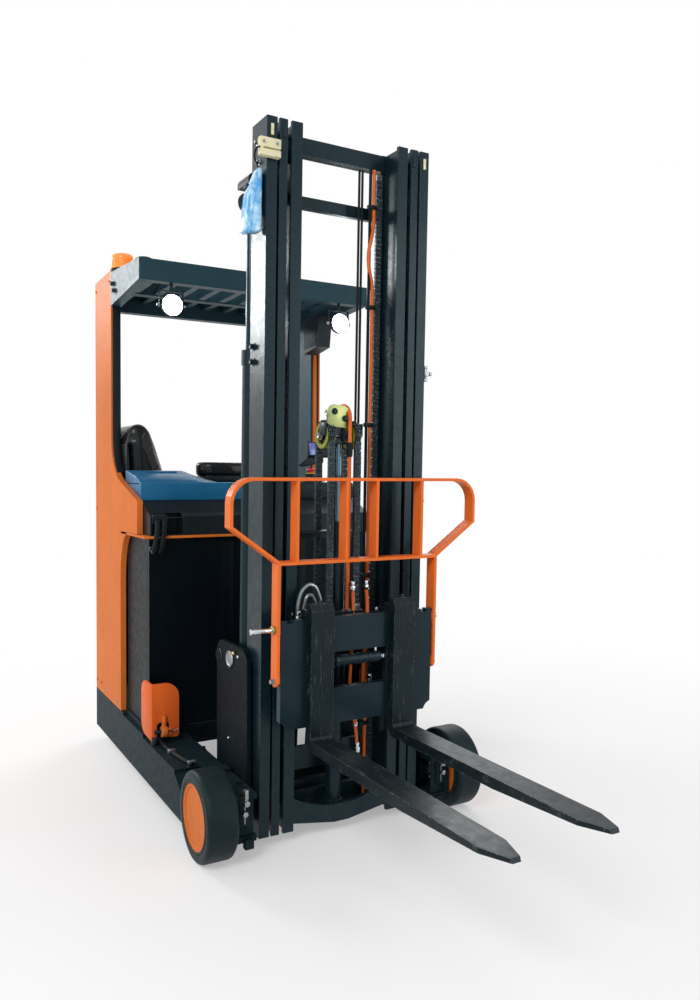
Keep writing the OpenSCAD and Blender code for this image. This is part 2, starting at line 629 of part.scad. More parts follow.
// Foot of the inner stage: a sagging front plate, a back plate and the floor between them
inner_bar_z = mast_z1 - 75;
foot_z = mast_z0 + 43;
saddle_t = 20;
saddle_flat = 35;
function saddle_top(y) = mast_z0 + 71 + 62 * pow(y / stage_table[INNER][0], 2);
module mast_inner() color(mast_black) on_mast() {
    s = stage_table[INNER];
    both() {
        column(INNER, mast_z0, mast_z1);
        mast_roller(s[3] - 1, stage_table[MIDDLE][2] - 2, mast_z0 + 90);
    }
    span([mast_back, -s[0] - 1, inner_bar_z], [mast_back + 30, s[0] + 1, mast_z1 - 8]);
    front_slab(mast_front - saddle_t, mast_front) polygon(concat(
        [for (i = [-6:6]) let (y = i * (s[0] + 1) / 6) [y, saddle_top(y)]],
        [[s[0] + 1, mast_z0 + 31], [saddle_flat, mast_z0], [-saddle_flat, mast_z0],
            [-s[0] - 1, mast_z0 + 31]]));
    span([mast_back, -s[0] - 1, foot_z - 12], [mast_back + saddle_t, s[0] + 1, foot_z + 65]);
    span([mast_back, -s[0] - 1, foot_z - 12], [mast_front - saddle_t + 1, s[0] + 1, foot_z]);
}

module lift_barrels() color(mast_black) on_mast() both()
    translate([lift_cyl_x, lift_cyl_y, 0]) difference() {
        union() {
            translate([0, 0, lift_cyl_foot]) cylinder(r = lift_cyl_r, h = lift_cyl_top - lift_cyl_foot);
            translate([0, 0, lift_cyl_top - 60]) cylinder(r = lift_cyl_r + 5, h = 60);
            span([0, -14, lift_cyl_foot - 18], [outer_bar_x - 24 - lift_cyl_x, 14, lift_cyl_foot + 40]);
            span([0, -7, lift_cyl_top - 40], [mast_back - lift_cyl_x, 14, lift_cyl_top - 15]);
        }
        translate([0, 0, lift_cyl_foot + 30]) cylinder(r = lift_rod_r + run_gap, h = lift_cyl_top);
    }
module lift_rods() color(steel) on_mast() both() translate([lift_cyl_x, lift_cyl_y, lift_cyl_foot + 35])
    cylinder(r = lift_rod_r, h = lift_head_z - lift_cyl_foot - 35);

// Lamp on the outer stage's right side: a housing that widens downwards, its round back and knob
lamp_out = stage_table[OUTER][1];
mast_lamp_z = mast_z1 - 450;
module mast_lamp() color([0.25, 0.55, 0.85]) on_mast() mirror([0, 1, 0]) {
    front_slab(mast_front - 70, mast_front - 12) polygon([[lamp_out + 8, mast_lamp_z + 12],
        [lamp_out + 84, mast_lamp_z], [lamp_out + 74, mast_lamp_z + 140], [lamp_out + 26, mast_lamp_z + 255],
        [lamp_out + 8, mast_lamp_z + 255]]);
    translate([0, lamp_out + 44, mast_lamp_z + 130]) {
        rotate([0, -90, 0]) translate([0, 0, 70 - mast_front]) rotate_extrude()
            polygon(concat([[0, 0], [34, 0]], arc([0, 20], 34, 0, 80, 6), [[7, 54], [7, 66], [0, 66]]));
        span([mast_front - 62, -44 + slide_gap, -20], [mast_front - 30, -30, 20]);
    }
}

// Slotted block that guides the cables past the column
block_z = mast_z1 - 162;
block_h = 69;
module mast_block() color([0.85, 0.80, 0.65]) on_mast() mirror([0, 1, 0]) difference() {
    span([mast_front, stage_table[OUTER][0] - 5, block_z],
        [mast_front + 27, stage_table[OUTER][1] + 38, block_z + block_h]);
    span([mast_front + 12, stage_table[OUTER][0] + 18, block_z + 26],
        [mast_front + 28, stage_table[OUTER][1] + 6, block_z + 30]);
}

module free_lift_barrel() color(mast_black) on_mast() translate([free_x, 0, 0]) difference() {
    union() {
        translate([0, 0, foot_z]) cylinder(r = free_r, h = free_top - foot_z);
        translate([0, 0, foot_z]) cylinder(r = free_r + 6, h = 26);
        translate([0, 0, free_top - 50]) cylinder(r = free_r + 5, h = 50);
        span([-sheave_r - 14, -chain_y - 14, free_top - 70], [0, chain_y + 14, free_top - 40]);
    }
    translate([0, 0, mast_z0 + 110]) cylinder(r = free_rod_r + run_gap, h = free_top);
}
module free_lift_rod() color(steel) on_mast() translate([free_x, 0, mast_z0 + 380])
    cylinder(r = free_rod_r, h = head_z - mast_z0 - 380);

module sheave(r, w, groove) translate([0, -w / 2, 0])
    turned_y([[9, 0], [r, 0], [r, 3], [r - 8, (w - groove) / 2], [r - 8, (w + groove) / 2], [r, w - 3],
        [r, w], [9, w]]);
hose_lift = 68;
module head_sheaves() color(zinc) on_mast() translate([free_x, 0, head_z]) {
    translate([0, 0, 35]) along_y(9, -chain_y - sheave_w / 2 - 6, chain_y + sheave_w / 2 + 6);
    span([-34, -40, 0], [34, 40, 14]);
    for (y = [-34, 2]) span([-34, y, 0], [34, y + 7, 118]);
    translate([0, hose_y, 35 + hose_lift]) sheave(hose_sheave_r, 24, 17);
    translate([0, 0, 35 + hose_lift]) along_y(9, -30, hose_y + 14);
    both() translate([0, chain_y, 35]) sheave(sheave_r, sheave_w, chain_w);
}

module lift_chains() color(steel) on_mast() both()
    translate([free_x + sheave_r + 1, chain_y, 935]) chain(head_z + 35 - 935);

// Rear runs of the lift chains, from the sheaves down to their anchor on the barrel's head
anchor_z = free_top - 40;
module anchor_chains() color(steel) on_mast() both()
    translate([free_x - sheave_r - 1, chain_y, anchor_z]) chain(head_z + 35 - anchor_z);

bracket_y = stage_table[INNER][0] - 27;
stage_chain_x = mast_back + 35;
module stage_chains() color(steel) on_mast() both()
    translate([stage_chain_x, bracket_y, foot_z + slide_gap]) chain(inner_bar_z - foot_z - 2 * slide_gap);

hose_r = 8;
mast_hose_x = mast_back + 30 + hose_r + slide_gap;
module mast_hoses() color([0.9, 0.5, 0.3]) on_mast() for (inset = [27, 45])
    sweep([for (z = [foot_z + slide_gap, inner_bar_z - slide_gap]) [mast_hose_x, bracket_y - inset, z]],
        hose_r);
module lift_hoses() color([0.9, 0.5, 0.3]) on_mast()
    sweep([for (z = [935, head_z + 35 + hose_lift]) [free_x + hose_sheave_r + slide_gap, hose_y, z]], hose_r);

rollers_z = [600, 870];
carriage_bars_z = [540, 850];
carriage_w = 580;
module fork_carriage() color(mast_black) on_mast() {
    both() {
        side_slab(bracket_y, bracket_y + 20)
            polygon(concat([[carriage_x0 + 20, 575], [carriage_x0 + 20, 930]],
                arc([mast_back + 92, 890], 40, 90, 180), arc([mast_back + 92, 615], 40, 180, 270)));
        for (z = rollers_z) mast_roller(bracket_y + 19, stage_table[INNER][2] - 2, z);
    }
    for (z = carriage_bars_z) span([carriage_x0, -carriage_w / 2, z], [carriage_x1, carriage_w / 2, z + 50]);
    both() for (z = carriage_bars_z)
        span([carriage_x0 - 1, bracket_y - 40, z - 10], [carriage_x0 + 12, bracket_y + 60, z + 60]);
    span([free_x + sheave_r - 12, -chain_y - 20, 900], [carriage_x0 + 10, chain_y + 20, 935]);
}

window_y = 130;
module side_shifter() color(mast_black) on_mast() {
    difference() {
        span([shift_x0, -shift_w / 2, shift_z0], [shift_x1, shift_w / 2, shift_z1]);
        span([shift_x0 - 1, -window_y, 655], [shift_x1 + 1, window_y, 800]);
        both() {
            span([shift_x0 - 1, shift_w / 2 - 50, shift_z1 - 12],
                [shift_x1 + 1, shift_w / 2 - 26, shift_z1 + 1]);
            translate([0, shift_w / 2 + 14, shift_z0 - 14]) along_x(48, shift_x0 - 1, shift_x1 + 1);
        }
    }
    both() span([carriage_x0 + 25, 120, 900 + slide_gap], [shift_x0 + 1, 280, 925]);
    both() span([carriage_x0 + 25, 120, 515], [shift_x0 + 1, 280, 540 - slide_gap]);
}
module shift_cylinder() color(rubber_black) on_mast() translate([shift_x0 + 16, 0, 760]) {
    along_y(20, -110, 100);
    along_y(10, -window_y, window_y);
}

fork_x0 = shift_x1 + slide_gap;
tip_l = 105;
blade_z = blade_top - fork_t;
heel_r = 50;
hook_h = 32;
hook_t = 14;

// A point of the mast's frame, X and Z, as it stands with the mast leaning
function lean(p) = [pivot_x + (p[0] - pivot_x) * cos(mast_lean) + (p[1] - pivot_z) * sin(mast_lean),
    pivot_z - (p[0] - pivot_x) * sin(mast_lean) + (p[1] - pivot_z) * cos(mast_lean)];

heel_x = lean([fork_x0, blade_z + heel_r])[0];
hook_x = shift_x0 - hook_t;
module fork() truck() difference() {
    side_slab(fork_side - fork_w / 2, fork_side + fork_w / 2)
        polygon(concat([for (p = [[fork_x0, shank_top], [fork_x0, shift_z1 + hook_h],
            [hook_x, shift_z1 + hook_h], [hook_x, shift_z1 + slide_gap], [fork_x0, shift_z1 + slide_gap],
            [fork_x0, shift_z0 - 5]]) lean(p)],
            arc([heel_x + heel_r, blade_z + heel_r], heel_r, 180, 270, 6),
            [[fork_tip - 500, blade_z], [fork_tip, blade_top - 12], [fork_tip - 8, blade_top]],
            arc([lean([fork_x0 + fork_t, blade_top])[0] + 14, blade_top + 14], 14, 270, 180, 4),
            [lean([fork_x0 + fork_t, shank_top - 25]), lean([fork_x0 + fork_t - 15, shank_top])]));
    for (s = [-1, 1]) translate([fork_tip, fork_side, blade_z - 1]) linear_extrude(fork_t + 2)
        polygon([[-tip_l, s * fork_w / 2], [-tip_l, s * (fork_w / 2 + 10)],
            [10, s * (fork_w / 2 + 10)], [10, s * 12]]);
}
module fork_left() color(mast_black) fork();
module fork_right() color(mast_black) mirror([0, 1, 0]) fork();

// Load guard of flat bar on edge: two posts, a hoop that widens above them, a sill and four upright bars
bar_d = 56;
flat_t = 12;
guard_x1 = shift_x1 + 6;
guard_x0 = guard_x1 - bar_d;
post_y = shift_w / 2 + 6 + flat_t;
post_z0 = 685;
sill_z = 1160;
hoop_y = 560;
hoop_z0 = 1300;
hoop_z1 = 1487;
hoop_r = 95;
upright_y = [-285, -70, 70, 285];
function hoop(d) = concat([[-post_y + d, sill_z + 0.53 * d], [-hoop_y + d, hoop_z0 + 0.53 * d]],
    arc([hoop_r - hoop_y, hoop_z1 - hoop_r], hoop_r - d, 180, 90, 6),
    arc([hoop_y - hoop_r, hoop_z1 - hoop_r], hoop_r - d, 90, 0, 6),
    [[hoop_y - d, hoop_z0 + 0.53 * d], [post_y - d, sill_z + 0.53 * d]]);
module load_guard() color(guard_orange) on_mast() {
    difference() {
        front_slab(guard_x0, guard_x1) polygon(hoop(0));
        front_slab(guard_x0 - 1, guard_x1 + 1) polygon(hoop(flat_t));
    }
    span([guard_x0, -post_y + 1, sill_z - flat_t + 6], [guard_x1, post_y - 1, sill_z + 6]);
    for (y = upright_y) span([guard_x0, y - flat_t / 2, sill_z], [guard_x1, y + flat_t / 2, hoop_z1 - 1]);
    both() {
        side_slab(post_y - flat_t, post_y)
            polygon(concat([[guard_x1, sill_z + 3], [guard_x0, sill_z + 3]],
                arc([(guard_x0 + guard_x1) / 2, post_z0 + bar_d / 2], bar_d / 2, 180, 360, 10)));
        for (z = [700, 890])
            span([shift_x0 + 2, shift_w / 2, z], [shift_x1 - 2, post_y - flat_t + 1, z + 36]);
    }
}

module battery_plug() color([0.25, 0.28, 0.30]) truck()
    span([-hood_front - 90, plug_y - 45, plug_z - 30], [-hood_front + 4, plug_y + 35, plug_z + 12]);
cable_route = [[-747.5, -518, 1278], [-738, -518, 1276], [-728, -517, 1262], [-725, -515, 1235],
    [-724, -512, 1195], [-724, -506, 1160], [-727, -498, 1134], [-733, -490, 1122], [-742, -485, 1128],
    [-749, -481, 1141], [-755, -480, 1143], [-762, -480, 1143], [-769.2, -480, 1143]];
module battery_cables() color(rubber_black) truck() for (dy = [0, 28])
    sweep([for (p = curve(cable_route, 3)) p + [0, dy, 0]], 11, 10);

// Battery locks: a side plate and a front plate joined at the corner, with the catch in their opening
lock_x0 = -850;
lock_x1 = -640;
lock_z0 = 296;
lock_z1 = 540;
lock_w = 132;
lock_t = 12;
catch_y = body_y - 58;
module battery_locks() color(guard_orange) truck() both() {
    side_slab(body_y - lock_t - 2, body_y - 2)
        polygon(concat([[lock_x0 + 95, lock_z0 - 16], [lock_x1, lock_z0 - 16], [lock_x1, lock_z1]],
            arc([lock_x0 + 60, lock_z1 - 60], 60, 90, 180), [[lock_x0, lock_z0 + 85]]));
    difference() {
        front_slab(lock_x1 - lock_t, lock_x1)
            polygon(concat([[body_y - lock_w, lock_z0], [body_y - 2, lock_z0]],
                arc([body_y - 22, lock_z1 - 20], 20, 0, 90),
                arc([body_y - lock_w + 66, lock_z1 - 66], 66, 90, 180)));
        span([lock_x1 - lock_t - 1, catch_y - 22, lock_z0 - 1], [lock_x1 + 1, catch_y + 34, lock_z0 + 64]);
    }
    span([lock_x1 - 78, body_y - lock_w + 4, leg_top], [lock_x1 - lock_t + 1, catch_y - 24, lock_z0 + 70]);
    translate([lock_x1 - 4, 0, lock_z0 + 22]) {
        along_y(11, catch_y - 60, catch_y + 4);
        along_y(24, catch_y - 9, catch_y + 9);
    }
    front_slab(lock_x1 - 16, lock_x1 + 12)
        polygon(concat([[catch_y - 9, lock_z0 - 24], [catch_y + 9, lock_z0 - 24]],
            arc([catch_y, lock_z0 + 44], 9, 0, 180)));
}

chassis();
leg_right();
leg_left();
battery();
battery_plug();
battery_cables();
battery_locks();
hood();
hood_cover();
hood_strip();
side_panel_right();
side_panel_left();
rear_panel();
seat_base();
seat_cushion();
seat_back();
armrest();
steering_wheel();
controls();
emergency_switch();
overhead_guard();
work_lights();
beacon();
roof_dome();
guard_box();
drive_unit();
drive_hub();
drive_tyre();
load_hub_right();
load_tyre_right();
load_hub_left();
load_tyre_left();
reach_carriage();
tilt_barrels();
tilt_rods();
mast_outer();
lift_barrels();
mast_lamp();
mast_block();
mast_middle();
lift_rods();
mast_inner();
free_lift_barrel();
stage_chains();
mast_hoses();
free_lift_rod();
head_sheaves();
fork_carriage();
lift_chains();
anchor_chains();
lift_hoses();
side_shifter();
shift_cylinder();
fork_right();
fork_left();
load_guard();
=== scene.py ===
"""The reach truck's looks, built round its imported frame. Lengths are metres, in the frame's axes."""

import logging
import math
from dataclasses import dataclass, field
from enum import Enum
from typing import Callable, Iterable, Optional, Sequence

import bpy
from mathutils import Matrix, Vector


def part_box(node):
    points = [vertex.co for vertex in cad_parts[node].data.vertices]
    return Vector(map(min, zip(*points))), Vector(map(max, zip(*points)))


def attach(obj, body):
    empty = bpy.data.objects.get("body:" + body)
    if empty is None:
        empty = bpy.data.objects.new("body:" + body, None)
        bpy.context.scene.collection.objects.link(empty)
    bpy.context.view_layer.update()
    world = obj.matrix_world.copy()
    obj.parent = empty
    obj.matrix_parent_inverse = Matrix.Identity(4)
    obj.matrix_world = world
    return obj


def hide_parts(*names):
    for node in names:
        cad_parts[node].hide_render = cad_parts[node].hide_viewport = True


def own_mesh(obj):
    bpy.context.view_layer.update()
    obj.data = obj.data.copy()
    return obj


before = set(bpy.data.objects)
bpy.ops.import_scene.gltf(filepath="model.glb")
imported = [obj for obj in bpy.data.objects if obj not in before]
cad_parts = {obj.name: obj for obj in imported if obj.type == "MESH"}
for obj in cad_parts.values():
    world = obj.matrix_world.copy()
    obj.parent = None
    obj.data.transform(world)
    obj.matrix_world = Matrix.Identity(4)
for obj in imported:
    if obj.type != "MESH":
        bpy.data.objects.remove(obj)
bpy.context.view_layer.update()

Point = Sequence[float]
log = logging.getLogger("reach_truck")

# The frame's origin is the middle of the plan, this far behind the load axle line
AXLE_X = (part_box("load_tyre_right")[0].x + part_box("load_tyre_right")[1].x) / 2
MAST_LEAN = math.radians(1.33)
MAST_PIVOT = Vector((AXLE_X - 0.070, 0.0, 0.169))


def linear(tone: str) -> tuple[float, float, float, float]:
    """Turns a screen colour into the linear one that shaders take.

    Args:
        tone: Six hexadecimal digits after a hash.

    Returns:
        Red, green, blue and an alpha of one.
    """
    parts = [int(tone[i:i + 2], 16) / 255 for i in (1, 3, 5)]
    red, green, blue = [p / 12.92 if p <= 0.04045 else ((p + 0.055) / 1.055) ** 2.4 for p in parts]
    return red, green, blue, 1.0


def at(x: float, y: float, z: float) -> Vector:
    """A point given from the load axle line on the floor, in the frame's axes."""
    return Vector((x + AXLE_X, y, z))


def on_mast(x: float, y: float, z: float) -> Vector:
    """A point given in the upright mast's own axes, as it stands with the mast's lean."""
    lean = Matrix.Rotation(MAST_LEAN, 3, "Y")
    return MAST_PIVOT + lean @ (at(x, y, z) - MAST_PIVOT)


class Recipe:
    """Builds one material's nodes, left to right."""

    def __init__(self, name: str) -> None:
        """Starts an empty material.

        Args:
            name: The material's name.
        """
        self.material = bpy.data.materials.new(name)
        self.material.use_nodes = True
        self.tree = self.material.node_tree
        self.shader = self.tree.nodes["Principled BSDF"]
        self.place = self.tree.nodes.new("ShaderNodeTexCoord").outputs["Object"]

    def node(self, kind: str, **settings: object) -> bpy.types.Node:
        """Adds a node and sets its properties.

        Args:
            kind: The node's type without its ShaderNode prefix.
            settings: Properties of the node by name.

        Returns:
            The new node.
        """
        made = self.tree.nodes.new("ShaderNode" + kind)
        for key, value in settings.items():
            setattr(made, key, value)
        return made

    def feed(self, socket: bpy.types.NodeSocket, value: object) -> None:
        """Links a socket into an input, or sets the input to a constant."""
        if isinstance(value, bpy.types.NodeSocket):
            self.tree.links.new(value, socket)
        else:
            socket.default_value = value

    def stretched(self, scale: Point) -> bpy.types.NodeSocket:
        """Object coordinates with each axis scaled by itself."""
        mapping = self.node("Mapping")
        self.feed(mapping.inputs["Vector"], self.place)
        mapping.inputs["Scale"].default_value = scale
        return mapping.outputs["Vector"]

    def noise(self, scale: float, detail: float = 3.0, rough: float = 0.5,
              along: Optional[bpy.types.NodeSocket] = None) -> bpy.types.NodeSocket:
        """Noise from nought to one.

        Args:
            scale: How many lumps fit in a metre.
            detail: How many finer layers lie on it.
            rough: How strong those layers are.
            along: Coordinates to read in place of the object's own.

        Returns:
            The noise's height.
        """
        made = self.node("TexNoise")
        self.feed(made.inputs["Vector"], along or self.place)
        made.inputs["Scale"].default_value = scale
        made.inputs["Detail"].default_value = detail
        made.inputs["Roughness"].default_value = rough
        return made.outputs["Fac"]

    def math(self, work: str, a: object, b: object = 0.0, clamp: bool = False) -> bpy.types.NodeSocket:
        """One step of arithmetic on two values."""
        made = self.node("Math", operation=work, use_clamp=clamp)
        self.feed(made.inputs[0], a)
        self.feed(made.inputs[1], b)
        return made.outputs[0]

    def ramp(self, value: bpy.types.NodeSocket, low: float, high: float,
             out_low: float = 0.0, out_high: float = 1.0) -> bpy.types.NodeSocket:
        """Spreads a stretch of a value over another stretch, held at both ends.

        Args:
            value: The value to read.
            low: Where the stretch begins.
            high: Where the stretch ends.
            out_low: What the beginning becomes.
            out_high: What the end becomes.

        Returns:
            The spread value.
        """
        made = self.node("MapRange", clamp=True)
        for name, number in (("From Min", low), ("From Max", high), ("To Min", out_low), ("To Max", out_high)):
            made.inputs[name].default_value = number
        self.feed(made.inputs["Value"], value)
        return made.outputs["Result"]

    def mix(self, share: object, a: object, b: object) -> bpy.types.NodeSocket:
        """Colour a turning to colour b by a share."""
        made = self.node("Mix", data_type="RGBA")
        self.feed(made.inputs[0], share)
        self.feed(made.inputs[6], a)
        self.feed(made.inputs[7], b)
        return made.outputs[2]

    def height(self) -> bpy.types.NodeSocket:
        """Height above the floor with everything at rest."""
        split = self.node("SeparateXYZ")
        self.feed(split.inputs[0], self.place)
        return split.outputs["Z"]

    def rounded(self, radius: float) -> tuple[bpy.types.NodeSocket, bpy.types.NodeSocket]:
        """Softens hard edges.

        Args:
            radius: How wide the edge is rounded.

        Returns:
            The softened normal, and a mask that is one along edges.
        """
        bevel = self.node("Bevel", samples=3)
        bevel.inputs["Radius"].default_value = radius
        flat = self.node("NewGeometry")
        dot = self.node("VectorMath", operation="DOT_PRODUCT")
        self.feed(dot.inputs[0], bevel.outputs["Normal"])
        self.feed(dot.inputs[1], flat.outputs["True Normal"])
        return bevel.outputs["Normal"], self.ramp(dot.outputs["Value"], 0.99, 0.80)

    def bump(self, height: bpy.types.NodeSocket, depth: float,
             normal: Optional[bpy.types.NodeSocket] = None) -> bpy.types.NodeSocket:
        """Bumps of a real depth in metres, over a normal if one is given."""
        made = self.node("Bump")
        made.inputs["Strength"].default_value = 1.0
        made.inputs["Distance"].default_value = depth
        self.feed(made.inputs["Height"], height)
        if normal is not None:
            self.feed(made.inputs["Normal"], normal)
        return made.outputs["Normal"]

    def done(self, **inputs: object) -> bpy.types.Material:
        """Sets the shader's inputs.

        Args:
            inputs: Values or links by input name, with underscores for spaces.

        Returns:
            The finished material.
        """
        for key, value in inputs.items():
            self.feed(self.shader.inputs[key.replace("_", " ")], value)
        return self.material


@dataclass(frozen=True)
class Finish:
    """A surface finish, made into a material once."""

    name: str
    tone: str
    roughness: float

    def brew(self, recipe: Recipe) -> bpy.types.Material:
        """Builds the material's nodes."""
        raise NotImplementedError

    def material(self) -> bpy.types.Material:
        """The finish's material, built the first time it is asked for."""
        found = bpy.data.materials.get(self.name + "_finish")
        return found or self.brew(Recipe(self.name + "_finish"))


@dataclass(frozen=True)
class Paint(Finish):
    """Sprayed paint on steel: fine peel, softened edges, dust low down and rubbed corners, whose pale edge colour on
    the chain is partly a painted highlight.
    """

    edge: str = "#8A8D8C"
    edge_radius: float = 0.003
    wear: float = 0.35
    dust: float = 0.35
    peel: float = 0.00006
    coat: float = 0.0
    shine: float = 0.22
    sheer: Point = (0.70, 0.92, 1.0, 1.0)
    scratched: float = 0.0

    def brew(self, recipe: Recipe) -> bpy.types.Material:
        """Builds the material's nodes."""
        base = linear(self.tone)
        dull = tuple(0.82 * c for c in base[:3]) + (1.0,)
        clouds = recipe.noise(2.3, 4.0, 0.6)
        colour = recipe.mix(recipe.ramp(clouds, 0.35, 0.75), base, dull)
        streak = recipe.noise(14.0, 5.0, 0.7, recipe.stretched((1.0, 1.0, 0.12)))
        grime = recipe.ramp(streak, 0.56, 0.80, 0.0, 0.30)
        colour = recipe.mix(grime, colour, tuple(0.55 * c for c in base[:3]) + (1.0,))
        low = recipe.ramp(recipe.height(), 0.55, 0.02)
        dusty = recipe.math("MULTIPLY", low, recipe.ramp(recipe.noise(19.0, 6.0, 0.65), 0.38, 0.72))
        dusty = recipe.math("MULTIPLY", dusty, self.dust)
        colour = recipe.mix(dusty, colour, linear("#4A5250"))
        normal, edges = recipe.rounded(self.edge_radius)
        # Pale edge colour on chipped patches of the edges: worn paint, and on the chain's plates partly a painted
        # highlight.
        chip_and_highlight_spots = recipe.ramp(recipe.noise(85.0, 5.0, 0.7), 0.50, 0.62)
        worn = recipe.math("MULTIPLY", recipe.math("MULTIPLY", edges, chip_and_highlight_spots), self.wear)
        colour = recipe.mix(worn, colour, linear(self.edge))
        if self.scratched > 0.0:
            drawn = recipe.noise(70.0, 7.0, 0.75, recipe.stretched((0.14, 1.2, 0.16)))
            colour = recipe.mix(recipe.ramp(drawn, 0.56, 0.78, 0.0, self.scratched), colour, linear(self.edge))
        rough = recipe.ramp(recipe.noise(31.0, 4.0, 0.6), 0.3, 0.7, self.roughness - 0.06, self.roughness + 0.10)
        rough = recipe.math("ADD", rough, recipe.math("MULTIPLY", dusty, 0.5), True)
        return recipe.done(Base_Color=colour, Roughness=rough, Coat_Weight=self.coat, Coat_Roughness=0.12,
                           Specular_IOR_Level=self.shine, Specular_Tint=self.sheer,
                           Normal=recipe.bump(recipe.noise(620.0, 2.0), self.peel, normal))


@dataclass(frozen=True)
class BareMetal(Finish):
    """Steel or plating: drawn or turned marks, faint stains and a true metal shine."""

    stain: str = "#4A4238"
    stained: float = 0.25
    marks: Point = (1.0, 1.0, 1.0)
    edge_radius: float = 0.0012

    def brew(self, recipe: Recipe) -> bpy.types.Material:
        """Builds the material's nodes."""
        lines = recipe.noise(160.0, 6.0, 0.6, recipe.stretched(self.marks))
        clouds = recipe.ramp(recipe.noise(23.0, 5.0, 0.65), 0.45, 0.78, 0.0, self.stained)
        colour = recipe.mix(clouds, linear(self.tone), linear(self.stain))
        normal, _ = recipe.rounded(self.edge_radius)
        rough = recipe.ramp(lines, 0.2, 0.8, self.roughness * 0.75, self.roughness * 1.35)
        return recipe.done(Base_Color=colour, Metallic=1.0, Roughness=rough,
                           Normal=recipe.bump(lines, 0.00005, normal))


@dataclass(frozen=True)
class Rubber(Finish):
    """Tyre or hose rubber: matt, greyed by dust, with a fine grain."""

    grey: str = "#4E5355"
    greyed: float = 0.45
    grain: float = 0.00010

    def brew(self, recipe: Recipe) -> bpy.types.Material:
        """Builds the material's nodes."""
        patches = recipe.ramp(recipe.noise(9.0, 6.0, 0.7), 0.42, 0.75, 0.0, self.greyed)
        colour = recipe.mix(patches, linear(self.tone), linear(self.grey))
        scuffs = recipe.noise(46.0, 5.0, 0.7, recipe.stretched((0.5, 2.4, 0.5)))
        colour = recipe.mix(recipe.ramp(scuffs, 0.60, 0.78, 0.0, 0.35), colour, linear(self.grey))
        normal, _ = recipe.rounded(0.003)
        rough = recipe.ramp(scuffs, 0.3, 0.7, self.roughness - 0.08, self.roughness + 0.12)
        return recipe.done(Base_Color=colour, Roughness=rough, Specular_IOR_Level=0.16, Specular_Tint=(0.75, 0.94, 1.0, 1.0),
                           Normal=recipe.bump(recipe.noise(900.0, 3.0), self.grain, normal))


@dataclass(frozen=True)
class Moulding(Finish):
    """Injection moulded plastic: a spark eroded grain and softly shining edges."""

    grain: float = 0.00008
    grains: float = 1300.0
    coat: float = 0.0
    shine: float = 0.28

    def brew(self, recipe: Recipe) -> bpy.types.Material:
        """Builds the material's nodes."""
        base = linear(self.tone)
        faded = tuple(min(1.0, 1.25 * c + 0.004) for c in base[:3]) + (1.0,)
        colour = recipe.mix(recipe.ramp(recipe.noise(5.0, 5.0, 0.6), 0.4, 0.75), base, faded)
        normal, edges = recipe.rounded(0.004)
        rubbed = recipe.math("MULTIPLY", edges, recipe.ramp(recipe.noise(60.0), 0.45, 0.65, 0.0, 0.3))
        colour = recipe.mix(rubbed, colour, faded)
        rough = recipe.ramp(recipe.noise(25.0, 5.0, 0.7), 0.3, 0.7, self.roughness - 0.05, self.roughness + 0.09)
        return recipe.done(Base_Color=colour, Roughness=rough, Coat_Weight=self.coat, Coat_Roughness=0.1,
                           Specular_IOR_Level=self.shine, Specular_Tint=(0.78, 0.94, 1.0, 1.0),
                           Normal=recipe.bump(recipe.noise(self.grains, 2.0), self.grain, normal))


@dataclass(frozen=True)
class Vinyl(Finish):
    """Seat vinyl: leather grain in small cells and a soft sheen on worn crowns."""

    def brew(self, recipe: Recipe) -> bpy.types.Material:
        """Builds the material's nodes."""
        cells = recipe.node("TexVoronoi", feature="DISTANCE_TO_EDGE")
        cells.inputs["Scale"].default_value = 420.0
        recipe.feed(cells.inputs["Vector"], recipe.place)
        creases = recipe.ramp(cells.outputs["Distance"], 0.0, 0.12)
        colour = recipe.mix(creases, linear("#08090A"), linear(self.tone))
        wear = recipe.ramp(recipe.noise(8.0, 4.0, 0.6), 0.45, 0.75, self.roughness, self.roughness - 0.14)
        return recipe.done(Base_Color=colour, Roughness=wear, Coat_Weight=0.22,
                           Coat_Roughness=0.10, Specular_IOR_Level=0.12, Normal=recipe.bump(creases, 0.00012))


@dataclass(frozen=True)
class Lens(Finish):
    """Clear or tinted plastic, which may glow from inside."""

    glow: float = 0.0
    clear: float = 0.6

    def brew(self, recipe: Recipe) -> bpy.types.Material:
        """Builds the material's nodes."""
        base = linear(self.tone)
        ribs = recipe.noise(240.0, 2.0, 0.4, recipe.stretched((1.0, 1.0, 3.0)))
        depth = recipe.ramp(recipe.noise(30.0, 3.0), 0.3, 0.7, 0.0, 0.25)
        colour = recipe.mix(depth, base, tuple(0.7 * c for c in base[:3]) + (1.0,))
        recipe.shader.inputs["Emission Color"].default_value = base
        recipe.shader.inputs["Emission Strength"].default_value = self.glow
        return recipe.done(Base_Color=colour, Roughness=self.roughness, Transmission_Weight=self.clear,
                           Coat_Weight=0.5, Normal=recipe.bump(ribs, 0.00015))


@dataclass(frozen=True)
class Film(Finish):
    """Thin stretched wrapping, creased."""

    def brew(self, recipe: Recipe) -> bpy.types.Material:
        """Builds the material's nodes."""
        creases = recipe.noise(38.0, 6.0, 0.75, recipe.stretched((1.0, 1.0, 0.35)))
        # Painted highlight: the crease crowns are mixed from the film's blue towards a pale blue white.
        painted_highlight = recipe.ramp(creases, 0.44, 0.60)
        colour = recipe.mix(painted_highlight, linear(self.tone), linear("#BFE3F5"))
        return recipe.done(Base_Color=colour, Roughness=self.roughness, Coat_Weight=0.8, Coat_Roughness=0.06,
                           Subsurface_Weight=0.0, Normal=recipe.bump(creases, 0.004))


